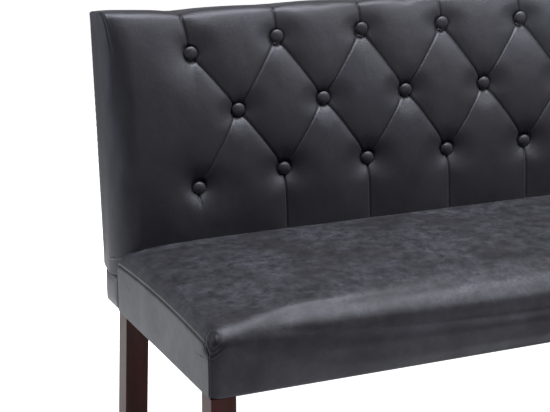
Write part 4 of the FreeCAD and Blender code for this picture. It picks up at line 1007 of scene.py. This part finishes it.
def sew(name, rows):
    points, faces = [], []
    for row in rows:
        steps = np.linalg.norm(np.diff(row, axis=0), axis=1)
        run = np.concatenate([[0], np.cumsum(steps)])
        places = np.arange(STITCH, run[-1] - STITCH, STITCH)
        spots = np.stack([np.interp(places, run, row[:, k]) for k in range(3)], axis=-1)
        ahead = np.stack([np.interp(places + 0.001, run, row[:, k]) for k in range(3)], axis=-1) - spots
        for spot, way in zip(spots, ahead):
            near, up = seat_cushion.closest_point_on_mesh(spot)[1:3]
            up = np.array(up)
            way = way - up * np.dot(way, up)
            way = way / np.linalg.norm(way)
            across = np.cross(up, way)
            turned = stitch_points @ np.stack([across, up, way])
            faces += [[i + len(points) for i in face] for face in stitch_faces]
            points += (turned + np.array(near) + up * 0.00018).tolist()
    mesh = bpy.data.meshes.new(name)
    mesh.from_pydata(points, [], faces)
    mesh.update()
    piece = bpy.data.objects.new(name, mesh)
    bpy.context.collection.objects.link(piece)
    return piece


thread = make_plain("seam_thread", (0.030, 0.030, 0.036), (0.060, 0.060, 0.070), 900, 0.6)
seam_stitches = []
for side, name in ((-1, "left_seam_stitches"), (1, "right_seam_stitches")):
    sewn = sew(name, [seam_row(side, -0.0035), seam_row(side, -0.0085)])
    sewn.data.materials.append(thread)
    seam_stitches.append(sewn)
print("stitch faces", [len(sewn.data.polygons) for sewn in seam_stitches])

# %% [markdown]
# Below the back cushion a plain padded band closes the gap to the seat frame.
# It is a short sleeve that bulges slightly at the rear. Its front edges are nearly square, because they
# meet the seat's rear edge and no wood may show between them.

# %% Band below the back
BAND_FRONT, BAND_REAR = 0.1806, 0.2555
BAND_LOW, BAND_HIGH = 0.3540, 0.4245
BAND_EDGE = 0.009
BAND_SHARP_EDGE = 0.003
BAND_BULGE = 0.0022
BAND_LEVEL = 0.721


def band_outline(inset):
    front = BAND_FRONT + max(0.25 * inset, inset - 0.75 * BAND_EDGE)
    rear, low, high = BAND_REAR - inset, BAND_LOW + inset, BAND_HIGH - inset
    edge = max(BAND_EDGE - inset, 0.001)
    sharp = max(BAND_SHARP_EDGE - inset, 0.001)
    points = line((front, low + sharp), (front, high - sharp), 10)
    points += arc((front + sharp, high - sharp), sharp, 180, 90, 5)
    points += line((front + sharp, high), (rear - edge, high), 8)
    points += arc((rear - edge, high - edge), edge, 90, 0, 5)
    for i in range(12):
        t = i / 12
        points.append((rear + BAND_BULGE * 4 * t * (1 - t), high - edge + (low - high + 2 * edge) * t))
    points += arc((rear - edge, low + edge), edge, 0, -90, 5)
    points += line((rear - edge, low), (front + sharp, low), 8)
    points += arc((front + sharp, low + sharp), sharp, 270, 180, 5)
    return np.array(points + points[:1])


band_level = [(-BAND_LEVEL + 2 * BAND_LEVEL * i / 60, 0.0) for i in range(61)]
band_end = [(BAND_LEVEL + BAND_EDGE * math.sin(t), BAND_EDGE * (1 - math.cos(t))) for t in turns]
band_end += [(0.7305, 0.013), (0.7312, 0.019), (0.7315, 0.026)]
band_columns = [(-x, e) for x, e in reversed(band_end)] + band_level + band_end
band_rings = np.array([band_outline(e) for x, e in band_columns])
band_x = np.repeat(np.array([c[0] for c in band_columns])[:, None], band_rings.shape[1], axis=1)
band_grid = np.stack([band_x, band_rings[..., 0], band_rings[..., 1]], axis=-1)
back_band = rolled_sleeve("back_band", band_grid, {})
subdivide_once(back_band)
back_band.data.materials.append(back_leather)
print("band", len(back_band.data.polygons), "faces")

# %% [markdown]
# The buttons are discs covered with the same leather, its colours painted a shade lighter for the light
# their faces catch: a flat dome with a gathered rim.
# One is modelled from a sphere: turned to face the front, squashed, and its rear cut flat by a bisect.
# A fine ripple round the rim stands for the gathers of the leather.

# %% One button
BUTTON_RADIUS = 0.0132
BUTTON_FLATNESS = 0.56
GATHERS = 17
bpy.ops.mesh.primitive_uv_sphere_add(segments=40, ring_count=24, radius=BUTTON_RADIUS)
first_button = bpy.context.object
bpy.ops.object.mode_set(mode="EDIT")
bpy.ops.mesh.select_all(action="SELECT")
bpy.ops.transform.rotate(value=math.pi / 2, orient_axis="X", center_override=(0, 0, 0))
bpy.ops.transform.resize(value=(1, BUTTON_FLATNESS, 1))
bpy.ops.mesh.bisect(plane_co=(0, 0.003, 0), plane_no=(0, 1, 0), use_fill=True, clear_outer=True)
bpy.ops.object.mode_set(mode="OBJECT")
bpy.ops.object.shade_smooth()
dome = read_points(first_button)
angle = np.arctan2(dome[:, 2], dome[:, 0])
reach = np.hypot(dome[:, 0], dome[:, 2]) / BUTTON_RADIUS
gather = 0.00022 * np.clip((reach - 0.72) / 0.28, 0, 1) * np.sin(GATHERS * angle)
dome[:, 1] += gather - 0.0065
write_points(first_button, dome)
print("a button has", len(first_button.data.polygons), "faces")

# %% [markdown]
# Each copy has its own mesh. It is turned differently, as buttons are when they are tied by hand,
# tipped a little forward and set into its dimple; then the copies of a row are joined.

# %% Rows of buttons
BUTTON_TIP = 0.20
BUTTON_SINK = 0.0035
rows_of_buttons = []
for row, name in enumerate(("lower_buttons", "middle_buttons", "upper_buttons")):
    copies = []
    for bx, place_row in button_places:
        if place_row != row:
            continue
        copy = first_button.copy()
        copy.data = first_button.data.copy()
        bpy.context.collection.objects.link(copy)
        shape = read_points(copy)
        turn = bx * 31.0 + row  # another angle for every button
        sx = shape[:, 0] * math.cos(turn) - shape[:, 2] * math.sin(turn)
        sz = shape[:, 0] * math.sin(turn) + shape[:, 2] * math.cos(turn)
        height = ROWS[row] - float(row_dip(bx))
        depth = CROWN + float(at_run(ROWS[row], back_run)) + BUTTON_DEPTH[row] + BUTTON_SINK
        across = bx + float(sideways(bx, ROWS[row]))
        write_points(copy, lean(sx + across, shape[:, 1] + depth - BUTTON_TIP * sz, sz + height))
        copies.append(copy)
    bpy.ops.object.select_all(action="DESELECT")
    for copy in copies:
        copy.select_set(True)
    bpy.context.view_layer.objects.active = copies[0]
    bpy.ops.object.join()
    joined = bpy.context.object
    joined.name = name
    joined.data.materials.clear()
    # The buttons' leather is painted a shade lighter to stand in for the light on their faces.
    joined.data.materials.append(button_leather_painted_light)
    rows_of_buttons.append(joined)
bpy.data.objects.remove(first_button)
print("rows of buttons", [len(row.data.polygons) for row in rows_of_buttons])

# %% [markdown]
# Every piece rides on the bench's one body, and the solids it stands for are hidden. The twine behind the
# buttons is out of sight, so the top row stands for it too.

# %% Finish
stands_for = {
    tufted_back: ("back_front_cover", "back_front_pad", "back_edge_pad", "back_rear_cover", "back_rear_pad"),
    seat_cushion: ("seat_top_cover", "seat_left_cover", "seat_right_cover", "seat_foam"),
    back_band: ("back_band_cover", "back_band_pad"),
    rows_of_buttons[0]: ("back_bottom_buttons",),
    rows_of_buttons[1]: ("back_middle_buttons",),
    rows_of_buttons[2]: ("back_top_buttons", "button_ties"),
}
for piece, solids in stands_for.items():
    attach(piece, "root")
    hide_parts(*solids)
for sewn in seam_stitches:
    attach(sewn, "root")
